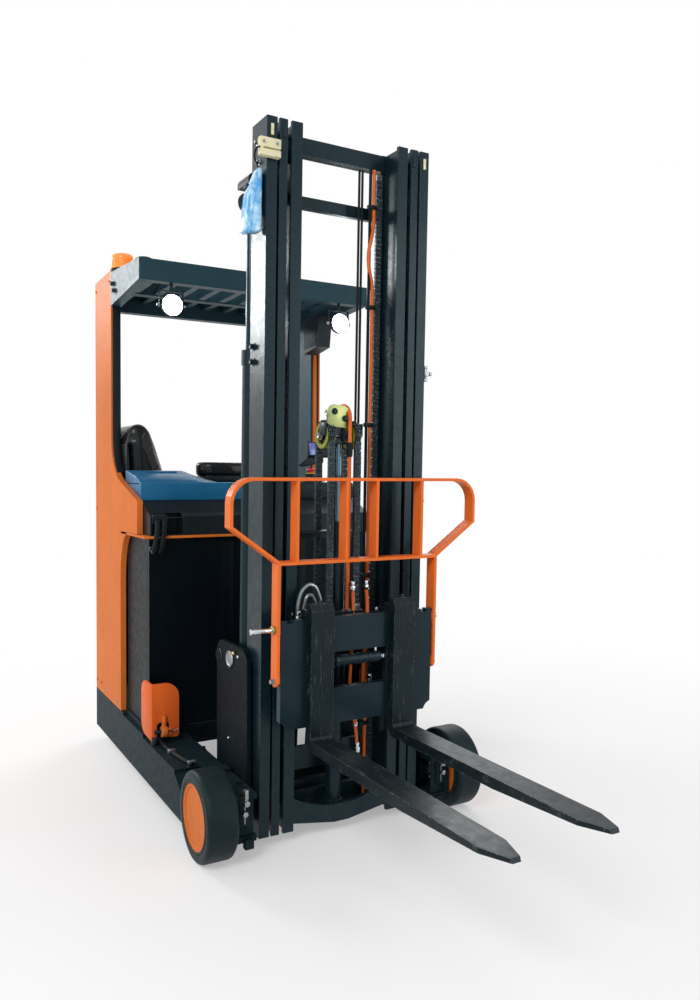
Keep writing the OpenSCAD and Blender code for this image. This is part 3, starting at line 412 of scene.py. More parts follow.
WARM = (1.0, 0.80, 0.62, 1.0)
ROD_CHROME = BareMetal("rod_chrome", "#627C88", 0.14, stain="#2A363B", stained=0.3)
DARK_CHROME = BareMetal("dark_chrome", "#2B363B", 0.16, stain="#12181B", stained=0.4)
RIM_YELLOW = Paint("rim_yellow", "#A8AE3A", 0.45, edge="#7A7F50", wear=0.4, dust=0.0, shine=0.3)
BODY_ORANGE = Paint("body_orange", "#DB7632", 0.42, edge="#E9B48C", wear=0.30, dust=0.20, shine=0.04, sheer=WARM)
GUARD_ORANGE = Paint("guard_orange", "#EE7430", 0.38, edge="#EDA878", wear=0.35, dust=0.15, shine=0.16, sheer=WARM)
LOCK_ORANGE = Paint("lock_orange", "#EC6A2A", 0.40, edge="#C9977A", wear=0.40, dust=0.15, shine=0.10, sheer=WARM)
DISC_ORANGE = Paint("disc_orange", "#DB7432", 0.48, edge="#B08C70", wear=0.20, dust=0.05, shine=0.12, sheer=WARM)
FRAME_DARK = Paint("frame_dark", "#17262C", 0.44, edge="#5D6F74", wear=0.30, dust=0.22, shine=0.05)
MAST_DARK = Paint("mast_dark", "#10222A", 0.28, edge="#7A8D94", wear=0.55, dust=0.20, coat=0.08, shine=0.20)
GUARD_DARK = Paint("roof_dark", "#28424C", 0.42, edge="#7F979E", wear=0.35, dust=0.10, shine=0.15)
REACH_DARK = Paint("reach_dark", "#0C1519", 0.46, edge="#5D6F74", wear=0.5, dust=0.15, shine=0.06)
FORK_DARK = Paint("fork_dark", "#0C161A", 0.36, edge="#A8B4B6", wear=0.9, dust=0.25, coat=0.06, shine=0.20, scratched=0.30)
BATTERY_BLACK = Paint("battery_black", "#03080E", 0.40, edge="#3C4A50", wear=0.15, dust=0.10, shine=0.10)
COVER_BLUE = Moulding("cover_blue", "#175F88", 0.38, grain=0.00004, coat=0.04, shine=0.20)
BLACK_PLASTIC = Moulding("black_plastic", "#0B1217", 0.44, shine=0.22)
GREY_PLASTIC = Moulding("grey_plastic", "#1A292F", 0.45, shine=0.16)
CREAM_PLASTIC = Moulding("cream_plastic", "#DCD4AE", 0.45)
RED_PLASTIC = Moulding("red_plastic", "#C8141A", 0.28, grain=0.00002, coat=0.4)
YELLOW_PLASTIC = Moulding("yellow_plastic", "#E8C41C", 0.35)
HOSE_BLACK = Rubber("hose_black", "#0B0F12", 0.40, grey="#2C363A", greyed=0.20)
HOSE_ORANGE = Rubber("hose_orange", "#D8682F", 0.38, grey="#E8945F", greyed=0.30)
TYRE_BLACK = Rubber("tyre_black", "#131F23", 0.46, grey="#33403F", greyed=0.30)
SEAT_VINYL = Vinyl("seat_vinyl", "#0B0F13", 0.30)
BRIGHT_STEEL = BareMetal("bright_steel", "#C9CFD4", 0.14, stained=0.06, marks=(1.0, 1.0, 0.05))
PLAIN_STEEL = BareMetal("plain_steel", "#9A9EA2", 0.34)
# The chain's pale edge colour, at full wear, is partly worn bright steel and partly a painted highlight on the plate
# edges.
CHAIN_STEEL = Paint("chain_steel", "#233239", 0.38, edge="#A4B4BA", edge_radius=0.0022, wear=1.0, dust=0.0, shine=0.50)
BRASS_TONE = BareMetal("brass_tone", "#D8C58A", 0.25, stain="#8A7440", stained=0.3)
BRAIDED = BareMetal("braided_hose", "#8E9A9C", 0.34, stain="#3C4648", stained=0.5)
YELLOW_ZINC = BareMetal("yellow_zinc", "#A4AC74", 0.42, stain="#59643C", stained=0.6)
LAMP_GLOW = Lens("lamp_glow", "#F4FBFF", 0.15, glow=22.0, clear=0.0)
SCREEN_GLASS = Lens("screen_glass", "#4C5FA6", 0.08, glow=0.35, clear=0.0)
AMBER_LENS = Lens("amber_lens", "#FF9420", 0.12, glow=0.30, clear=0.25)
BLUE_FILM = Film("blue_film", "#3FA3E0", 0.10)

NODE_FINISH: dict[str, Finish] = {
    "chassis": FRAME_DARK, "leg_right": FRAME_DARK, "leg_left": FRAME_DARK, "battery": BATTERY_BLACK,
    "battery_plug": GREY_PLASTIC, "battery_cables": HOSE_BLACK, "battery_locks": LOCK_ORANGE,
    "hood": BLACK_PLASTIC, "hood_cover": COVER_BLUE, "hood_strip": BODY_ORANGE,
    "side_panel_right": BODY_ORANGE, "side_panel_left": BODY_ORANGE, "rear_panel": BODY_ORANGE,
    "seat_base": FRAME_DARK, "seat_cushion": SEAT_VINYL, "seat_back": SEAT_VINYL, "armrest": BLACK_PLASTIC,
    "steering_wheel": BLACK_PLASTIC, "controls": BLACK_PLASTIC, "emergency_switch": RED_PLASTIC,
    "overhead_guard": GUARD_DARK, "work_lights": GREY_PLASTIC, "beacon": AMBER_LENS,
    "roof_dome": BLACK_PLASTIC, "drive_unit": MAST_DARK, "drive_hub": PLAIN_STEEL, "drive_tyre": TYRE_BLACK,
    "load_hub_right": DISC_ORANGE, "load_hub_left": DISC_ORANGE, "load_tyre_right": TYRE_BLACK,
    "load_tyre_left": TYRE_BLACK, "reach_carriage": REACH_DARK, "tilt_barrels": MAST_DARK,
    "tilt_rods": BRIGHT_STEEL, "mast_outer": MAST_DARK, "lift_barrels": MAST_DARK, "mast_lamp": BLUE_FILM,
    "mast_block": CREAM_PLASTIC, "mast_middle": MAST_DARK, "lift_rods": DARK_CHROME,
    "mast_inner": MAST_DARK, "free_lift_barrel": MAST_DARK, "stage_chains": CHAIN_STEEL,
    "mast_hoses": HOSE_ORANGE, "free_lift_rod": ROD_CHROME, "head_sheaves": YELLOW_ZINC,
    "fork_carriage": MAST_DARK, "lift_chains": CHAIN_STEEL, "anchor_chains": CHAIN_STEEL,
    "lift_hoses": HOSE_ORANGE, "side_shifter": MAST_DARK, "shift_cylinder": HOSE_BLACK,
    "fork_right": FORK_DARK, "fork_left": FORK_DARK, "load_guard": GUARD_ORANGE, "guard_box": BLACK_PLASTIC,
}


LEANING = Matrix.Translation(MAST_PIVOT) @ Matrix.Rotation(MAST_LEAN, 4, "Y") @ Matrix.Translation(-MAST_PIVOT)
UP = Vector((0.0, 0.0, 1.0))


class Side(Enum):
    """The truck's two sides, by the sign of Y."""

    RIGHT = -1
    LEFT = 1


def only(obj: bpy.types.Object) -> None:
    """Selects one object alone and makes it active."""
    bpy.ops.object.select_all(action="DESELECT")
    obj.select_set(True)
    bpy.context.view_layer.objects.active = obj


def settled(name: str) -> bpy.types.Object:
    """Names the active object and writes its place into its mesh."""
    obj = bpy.context.object
    obj.name = name
    bpy.ops.object.transform_apply(location=True, rotation=True, scale=True)
    return obj


def modified(obj: bpy.types.Object, kind: str, **settings: object) -> bpy.types.Object:
    """Adds one modifier and applies it.

    Args:
        obj: The mesh object.
        kind: The modifier's type.
        settings: The modifier's properties by name.

    Returns:
        The same object.
    """
    modifier = obj.modifiers.new(kind.lower(), kind)
    for key, value in settings.items():
        setattr(modifier, key, value)
    only(obj)
    bpy.ops.object.modifier_apply(modifier=modifier.name)
    return obj


def eased(obj: bpy.types.Object, width: float, segments: int = 2, angle: float = 35.0) -> bpy.types.Object:
    """Rounds every edge sharper than an angle in degrees."""
    if width <= 0.0:
        return obj
    return modified(obj, "BEVEL", width=width, segments=segments, limit_method="ANGLE",
                    angle_limit=math.radians(angle), harden_normals=False)


def sealed(obj: bpy.types.Object) -> bpy.types.Object:
    """Merges doubled points and turns the faces outwards."""
    only(obj)
    bpy.ops.object.mode_set(mode="EDIT")
    bpy.ops.mesh.select_all(action="SELECT")
    bpy.ops.mesh.remove_doubles(threshold=0.00002)
    bpy.ops.mesh.normals_make_consistent(inside=False)
    bpy.ops.object.mode_set(mode="OBJECT")
    return obj


def block(name: str, low: Point, high: Point, ease: float = 0.0015, segments: int = 2) -> bpy.types.Object:
    """A box between two corners with rounded edges.

    Args:
        name: The piece's name.
        low: Its lowest corner.
        high: Its highest corner.
        ease: How wide its edges are rounded.
        segments: Into how many steps the rounding is cut.

    Returns:
        The mesh object.
    """
    bpy.ops.object.select_all(action="DESELECT")
    bpy.ops.mesh.primitive_cube_add(size=1.0, location=(Vector(low) + Vector(high)) / 2)
    bpy.context.object.scale = Vector(high) - Vector(low)
    return eased(settled(name), ease, segments)


def rod(name: str, start: Point, end: Point, radius: float, sides: int = 24,
        ease: float = 0.0) -> bpy.types.Object:
    """A round bar from one point to another, its rims rounded by ease."""
    run = Vector(end) - Vector(start)
    bpy.ops.object.select_all(action="DESELECT")
    bpy.ops.mesh.primitive_cylinder_add(vertices=sides, radius=radius, depth=run.length,
                                        location=(Vector(start) + Vector(end)) / 2)
    bpy.context.object.rotation_mode = "QUATERNION"
    bpy.context.object.rotation_quaternion = run.to_track_quat("Z", "Y")
    return eased(settled(name), ease, 2, 60.0)


def plate(name: str, outline: Sequence[Sequence[float]], axis: str, low: float, high: float,
          ease: float = 0.001) -> bpy.types.Object:
    """A flat plate cut to an outline.

    Args:
        name: The piece's name.
        outline: Its corners in the two axes left over, in their order.
        axis: The axis that the plate's thickness runs along, x, y or z.
        low: Where its thickness starts.
        high: Where its thickness ends.
        ease: How wide its edges are rounded.

    Returns:
        The mesh object.
    """
    bpy.ops.object.select_all(action="DESELECT")
    bpy.ops.mesh.primitive_circle_add(vertices=len(outline), fill_type="NGON")
    obj = bpy.context.object
    for corner, (u, v) in zip(obj.data.vertices, outline):
        corner.co = {"x": (low, u, v), "y": (u, low, v), "z": (u, v, low)}[axis]
    rise = Vector((axis == "x", axis == "y", axis == "z")) * (high - low)
    bpy.ops.object.mode_set(mode="EDIT")
    bpy.ops.mesh.select_all(action="SELECT")
    bpy.ops.mesh.extrude_region_move(TRANSFORM_OT_translate={"value": rise})
    bpy.ops.mesh.select_all(action="SELECT")
    bpy.ops.mesh.normals_make_consistent(inside=False)
    bpy.ops.object.mode_set(mode="OBJECT")
    return eased(settled(name), ease)


def lathe(name: str, profile: Sequence[Sequence[float]], centre: Point, axis: Point,
          steps: int = 32) -> bpy.types.Object:
    """Spins a closed profile round an axis.

    Args:
        name: The piece's name.
        profile: Points as (radius, distance along the axis), in their order.
        centre: A point on the axis, where the distance is nought.
        axis: The axis' direction.
        steps: Into how many steps the turn is cut.

    Returns:
        The mesh object.
    """
    along = Vector(axis).normalized()
    side = along.orthogonal().normalized()
    bpy.ops.object.select_all(action="DESELECT")
    bpy.ops.mesh.primitive_circle_add(vertices=len(profile), fill_type="NOTHING")
    obj = bpy.context.object
    for corner, (radius, distance) in zip(obj.data.vertices, profile):
        corner.co = Vector(centre) + side * radius + along * distance
    bpy.ops.object.mode_set(mode="EDIT")
    bpy.ops.mesh.select_all(action="SELECT")
    bpy.ops.mesh.spin(steps=steps, angle=math.tau, center=centre, axis=along)
    bpy.ops.mesh.select_all(action="SELECT")
    bpy.ops.mesh.remove_doubles(threshold=0.00002)
    bpy.ops.mesh.delete_loose(use_verts=True, use_edges=True, use_faces=False)
    bpy.ops.mesh.select_all(action="SELECT")
    bpy.ops.mesh.normals_make_consistent(inside=False)
    bpy.ops.object.mode_set(mode="OBJECT")
    return settled(name)


def tube(name: str, route: Sequence[Point], radius: float, fine: int = 5, sides: int = 2) -> bpy.types.Object:
    """A round hose or wire through points, on one smooth curve.

    Args:
        name: The piece's name.
        route: The points that it runs through.
        radius: Its own radius.
        fine: How many steps lie between two points.
        sides: How finely it is round, from nought.

    Returns:
        The mesh object.
    """
    curve = bpy.data.curves.new(name, "CURVE")
    curve.dimensions = "3D"
    curve.resolution_u = fine
    curve.bevel_depth = radius
    curve.bevel_resolution = sides
    curve.use_fill_caps = True
    spline = curve.splines.new("BEZIER")
    spline.bezier_points.add(len(route) - 1)
    for knot, place in zip(spline.bezier_points, route):
        knot.co = place
        knot.handle_left_type = knot.handle_right_type = "AUTO"
    obj = bpy.data.objects.new(name, curve)
    bpy.context.scene.collection.objects.link(obj)
    only(obj)
    bpy.ops.object.convert(target="MESH")
    return sealed(bpy.context.object)


def joined(name: str, parts: Sequence[bpy.types.Object]) -> bpy.types.Object:
    """Joins pieces of one finish into one object."""
    only(parts[0])
    for part in parts:
        part.select_set(True)
    bpy.ops.object.join()
    parts[0].name = name
    return parts[0]


def turned(place: Point, axis: Point = UP, spin: float = 0.0) -> Matrix:
    """The matrix that stands a piece, modelled along Z, at a place along an axis."""
    stand = Vector(axis).to_track_quat("Z", "Y").to_matrix().to_4x4()
    return Matrix.Translation(Vector(place)) @ stand @ Matrix.Rotation(spin, 4, "Z")


def repeated(name: str, master: bpy.types.Object, places: Sequence[Matrix]) -> bpy.types.Object:
    """Copies a piece to each place, each copy with its own mesh, and joins the copies."""
    copies = []
    for place in places:
        twin = master.copy()
        twin.data = master.data.copy()
        twin.data.transform(place)
        bpy.context.scene.collection.objects.link(twin)
        copies.append(twin)
    bpy.data.objects.remove(master)
    return joined(name, copies)


def bolt(size: float, tall: float = 0.65, washer: bool = True) -> bpy.types.Object:
    """One hexagon bolt's head along Z, its foot at nought, with its washer.

    Args:
        size: The head's width across its corners.
        tall: The head's height as a share of its size.
        washer: Whether a washer lies under it.

    Returns:
        The mesh object.
    """
    foot = 0.14 * size if washer else 0.0
    head = rod("bolt", (0, 0, foot), (0, 0, foot + tall * size), size / 2, 6)
    only(head)
    bpy.ops.object.mode_set(mode="EDIT")
    bpy.ops.mesh.select_mode(type="FACE")
    bpy.ops.mesh.select_all(action="DESELECT")
    bpy.ops.object.mode_set(mode="OBJECT")
    for face in head.data.polygons:
        face.select = face.normal.z > 0.9
    bpy.ops.object.mode_set(mode="EDIT")
    bpy.ops.mesh.inset(thickness=0.07 * size, depth=0.06 * size)
    bpy.ops.mesh.inset(thickness=0.13 * size, depth=-0.05 * size)
    bpy.ops.object.mode_set(mode="OBJECT")
    if not washer:
        return head
    return joined("bolt", [head, rod("washer", (0, 0, 0), (0, 0, foot), 0.72 * size, 18, 0.02 * size)])


def socket_screw(size: float) -> bpy.types.Object:
    """One round headed screw with a hexagon socket, along Z, its foot at nought."""
    head = size / 2
    rim = lathe("screw", [(0, 0), (head, 0), (head, 0.42 * size), (0.9 * head, 0.5 * size), (0.45 * head, 0.5 * size),
                          (0.45 * head, 0.25 * size), (0, 0.25 * size)], (0, 0, 0), UP, 18)
    return rim


@dataclass
class Assembly:
    """Pieces that belong together. Every piece leaves here with a finish and a body to ride on."""

    body: str = "chassis"
    leaning: bool = False

    def own(self, piece: bpy.types.Object, finish: "Finish", slot: str, body: Optional[str] = None,
            crisp: float = 32.0, replaces: Sequence[str] = ()) -> bpy.types.Object:
        """Finishes a piece and hands it to its body.

        Args:
            piece: The mesh object, in its place, on the mast in the mast's own upright axes.
            finish: Its surface.
            slot: The record's material slot that it goes with; not used.
            body: The body that it rides on, if not the assembly's own.
            crisp: The angle in degrees above which an edge stays sharp.
            replaces: CAD nodes that it stands for.

        Returns:
            The same object.
        """
        if self.leaning:
            piece.data.transform(LEANING)
        piece.data.materials.clear()
        piece.data.materials.append(finish.material())
        only(piece)
        bpy.ops.object.shade_smooth_by_angle(angle=math.radians(crisp))
        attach(piece, body or self.body)
        if replaces:
            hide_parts(*replaces)
        log.info("made %s in %s", piece.name, finish.name)
        return piece

    def build(self) -> None:
        """Models every piece of the assembly."""
        raise NotImplementedError


PITCH = 0.01905


@dataclass
class Chains(Assembly):
    """Leaf chains of the lift, made of plates and pins. Heights are the mast's own."""

    leaning: bool = True
    eye: float = 0.0086
    waist: float = 0.0040
    leaf: float = 0.0033
    half_width: float = 0.0142
    anchor_z: float = 0.935
    barrel_z: float = 1.260
    centre_z: float = 1.657
    front_x: float = 0.008
    rear_x: float = -0.104
    side_y: float = 0.062
    overlap: float = 0.66

    def link(self, leaves: Sequence[float], slim: float) -> list[bpy.types.Object]:
        """Plates of one pitch with the pin at their foot, along Z from the origin."""
        ends = [(a, self.eye * slim) for a in range(205, 340, 26)]
        low = [(r * math.cos(math.radians(a)), r * math.sin(math.radians(a))) for a, r in ends]
        outline = low + [(self.waist * slim, PITCH / 2)] + [(-x, PITCH - z) for x, z in low] + [
            (-self.waist * slim, PITCH / 2)]
        half = self.leaf * slim / 2
        made = [plate("leaf", outline, "y", y - half, y + half, 0.0) for y in leaves]
        made.append(rod("pin", (0, -self.half_width * slim, 0), (0, self.half_width * slim, 0), 0.0034, 8))
        return made

    def run(self, name: str, foot: Point, length: float, slim: float = 1.0) -> bpy.types.Object:
        """A straight run of chain upwards from a point.

        Args:
            name: The piece's name.
            foot: Where its lowest pin lies.
            length: How long it is.
            slim: A factor on its thickness, so that two runs may lie in one place.

        Returns:
            The mesh object.
        """
        wide, narrow = (-0.0123, -0.0041, 0.0041, 0.0123), (-0.0082, 0.0, 0.0082)
        first = joined(name, self.link(wide, slim))
        second = joined("second", self.link(narrow, slim))
        second.data.transform(Matrix.Translation((0, 0, PITCH)))
        pair = joined(name, [first, second])
        modified(pair, "ARRAY", count=max(1, int(length / (2 * PITCH))), use_relative_offset=False,
                 use_constant_offset=True, constant_offset_displace=(0, 0, 2 * PITCH))
        pair.data.transform(Matrix.Translation(Vector(foot)))
        return pair

    def wrap(self, name: str, centre: Point, radius: float) -> bpy.types.Object:
        """Half a turn of chain over a sheave."""
        steps = int(math.pi * radius / PITCH)
        link = joined(name, self.link((-0.0123, -0.0041, 0.0041, 0.0123), 0.98))
        link.data.transform(Matrix.Translation((radius, 0, -PITCH / 2)))
        places = [Matrix.Translation(Vector(centre)) @ Matrix.Rotation(-math.pi * (i + 0.5) / steps, 4, "Y")
                  for i in range(steps)]
        return repeated(name, link, places)

    def build(self) -> None:
        """Models the lift chains' front, top and rear runs and the long stage chains."""
        for side in Side:
            tag, y = side.name.lower(), side.value * self.side_y
            foot, top = at(self.front_x, y, self.anchor_z), at(self.front_x, y, self.centre_z)
            low = self.own(self.run(f"lift_chain_low_{tag}", foot, self.overlap), CHAIN_STEEL, "chain_steel",
                           "fork_carriage", replaces=("lift_chains",))
            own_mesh(low)
            high = self.own(self.run(f"lift_chain_high_{tag}", top - UP * self.overlap, self.overlap, 0.96),
                            CHAIN_STEEL, "chain_steel", "free_lift_head")
            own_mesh(high)
            self.own(self.wrap(f"lift_chain_top_{tag}", at(-0.048, y, self.centre_z), 0.0565), CHAIN_STEEL,
                     "chain_steel", "free_lift_head")
            rear = at(self.rear_x, y, self.barrel_z)
            self.own(self.run(f"anchor_chain_{tag}", rear, 0.197), CHAIN_STEEL, "chain_steel", "mast_inner",
                     replaces=("anchor_chains",))
            self.own(self.run(f"rear_chain_{tag}", at(self.rear_x, y, self.centre_z - 0.89), 0.89, 0.96),
                     CHAIN_STEEL, "chain_steel", "free_lift_head")
            long_foot = at(-0.078, side.value * 0.195, 0.093)
            long = self.own(self.run(f"stage_chain_{tag}", long_foot, 2.685), CHAIN_STEEL, "chain_steel",
                            "mast_inner", replaces=("stage_chains",))
            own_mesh(long)
            clevis = [block("clevis", at(self.front_x - 0.009, y - 0.018, 0.925), at(self.front_x + 0.009, y + 0.018, 0.955)),
                      rod("clevis", at(self.front_x, y, 0.88), at(self.front_x, y, 0.93), 0.008, 16, 0.001)]
            self.own(joined(f"chain_clevis_{tag}", clevis), PLAIN_STEEL, "bare_steel", "fork_carriage")


@dataclass
class LiftHead(Assembly):
    """The free lift's head: spoked sheaves on an axle in a two lobed plated bracket."""

    body: str = "free_lift_head"
    leaning: bool = True
    x: float = -0.048
    z: float = 1.657
    sheave: float = 0.055
    chain_y: float = 0.062
    hose_y: float = 0.022
    hose_z: float = 1.725

    def wheel(self, name: str, y: float, z: float, radius: float, width: float) -> None:
        """One sheave: a plated rim with a groove and a dark spoked centre."""
        half, seat = width / 2, radius - 0.009
        rim = lathe(name, [(seat - 0.008, -half), (radius, -half), (radius, -half + 0.003), (seat, -half + 0.007),
                           (seat, half - 0.007), (radius, half - 0.003), (radius, half), (seat - 0.008, half)],
                    at(self.x, y, z), (0, 1, 0), 48)
        self.own(rim, RIM_YELLOW, "zinc_plate", replaces=("head_sheaves",))
        centre = at(self.x, y, z)
        spokes = [rod("spoke", centre + Vector((math.cos(a), 0, math.sin(a))) * 0.012,
                      centre + Vector((math.cos(a), 0, math.sin(a))) * (seat - 0.004), 0.0058, 10)
                  for a in [math.tau * i / 6 for i in range(6)]]
        hub = lathe("hub", [(0.0, -half - 0.001), (0.015, -half - 0.001), (0.017, -half + 0.002), (0.017, half - 0.002),
                            (0.015, half + 0.001), (0.0, half + 0.001)], centre, (0, 1, 0), 24)
        web = lathe("web", [(0.014, -half + 0.012), (seat - 0.002, -half + 0.012), (seat - 0.002, half - 0.012),
                            (0.014, half - 0.012)], centre, (0, 1, 0), 32)
        self.own(joined(name + "_centre", [web, hub] + spokes), BLACK_PLASTIC, "black_plastic")

    def build(self) -> None:
        """Models sheaves, bracket, axles and the keepers over the chains."""
        for side in Side:
            self.wheel(f"chain_sheave_{side.name.lower()}", side.value * self.chain_y, self.z, self.sheave, 0.036)
        self.wheel("hose_sheave", self.hose_y, self.hose_z, 0.050, 0.024)
        lobes = [(self.x - 0.036, 1.622), (self.x + 0.036, 1.622), (self.x + 0.040, 1.700)]
        lobes += [(self.x + 0.014 + 0.027 * math.cos(a), 1.735 + 0.027 * math.sin(a)) for a in
                  [math.radians(d) for d in range(-20, 121, 20)]]
        lobes += [(self.x - 0.020 + 0.022 * math.cos(a), 1.752 + 0.022 * math.sin(a)) for a in
                  [math.radians(d) for d in range(60, 201, 20)]]
        cheeks = []
        for low in (-0.037, 0.003, 0.036):
            outline = [(u + AXLE_X, v) for u, v in lobes]
            cheeks.append(plate("cheek", outline, "y", low, low + 0.005, 0.0012))
        cheeks.append(block("saddle", at(self.x - 0.036, -0.041, 1.622), at(self.x + 0.036, 0.041, 1.634), 0.002))
        self.own(joined("head_cheeks", cheeks), MAST_DARK, "mast_paint")
        face = [(-0.078, 1.706), (-0.060, 1.694), (0.010, 1.688), (0.022, 1.698), (0.026, 1.745)]
        face += [(-0.004 + 0.028 * math.cos(a), 1.752 + 0.028 * math.sin(a)) for a in [math.radians(d) for d in range(10, 81, 14)]]
        face += [(-0.045 + 0.033 * math.cos(a), 1.752 + 0.033 * math.sin(a)) for a in [math.radians(d) for d in range(80, 191, 18)]]
        front = self.x + AXLE_X + 0.041
        self.own(plate("head_bracket", face, "x", front, front + 0.008, 0.002), YELLOW_ZINC, "zinc_plate")
        self.own(repeated("head_bolts", bolt(0.019, 0.45), [turned((front + 0.008, y, z), (1, 0, 0)) for y, z in
                 ((-0.046, 1.756), (0.004, 1.728))]), MAST_DARK, "mast_paint")
        axle = [rod("axle", at(self.x, -0.088, self.z), at(self.x, 0.088, self.z), 0.009, 20, 0.0015),
                rod("axle", at(self.x, -0.038, self.hose_z), at(self.x, 0.043, self.hose_z), 0.008, 20, 0.0015)]
        axle.append(repeated("nut", bolt(0.026, 0.4), [
            turned(at(self.x, 0.043, self.hose_z), (0, 1, 0)), turned(at(self.x, -0.038, self.hose_z), (0, -1, 0)),
            turned(at(self.x, 0.082, self.z), (0, 1, 0)), turned(at(self.x, -0.082, self.z), (0, -1, 0)),
            turned(at(self.x - 0.018, -0.037, 1.753), (0, -1, 0)), turned(at(self.x + 0.015, -0.037, 1.736), (0, -1, 0))]))
        self.own(joined("head_axles", axle), PLAIN_STEEL, "bare_steel")
        straps = [rod("keeper", at(self.x + 0.045, y - 0.022, self.z + 0.048), at(self.x + 0.045, y + 0.022, self.z + 0.048),
                      0.0035, 10) for y in (-self.chain_y, self.chain_y)]
        straps += [block("keeper", at(self.x - 0.004, s * 0.086 - 0.0015, self.z), at(self.x + 0.052, s * 0.086 + 0.0015,
                   self.z + 0.052), 0.0008) for s in (-1, 1)]
        self.own(joined("chain_keepers", straps), MAST_DARK, "bare_steel")


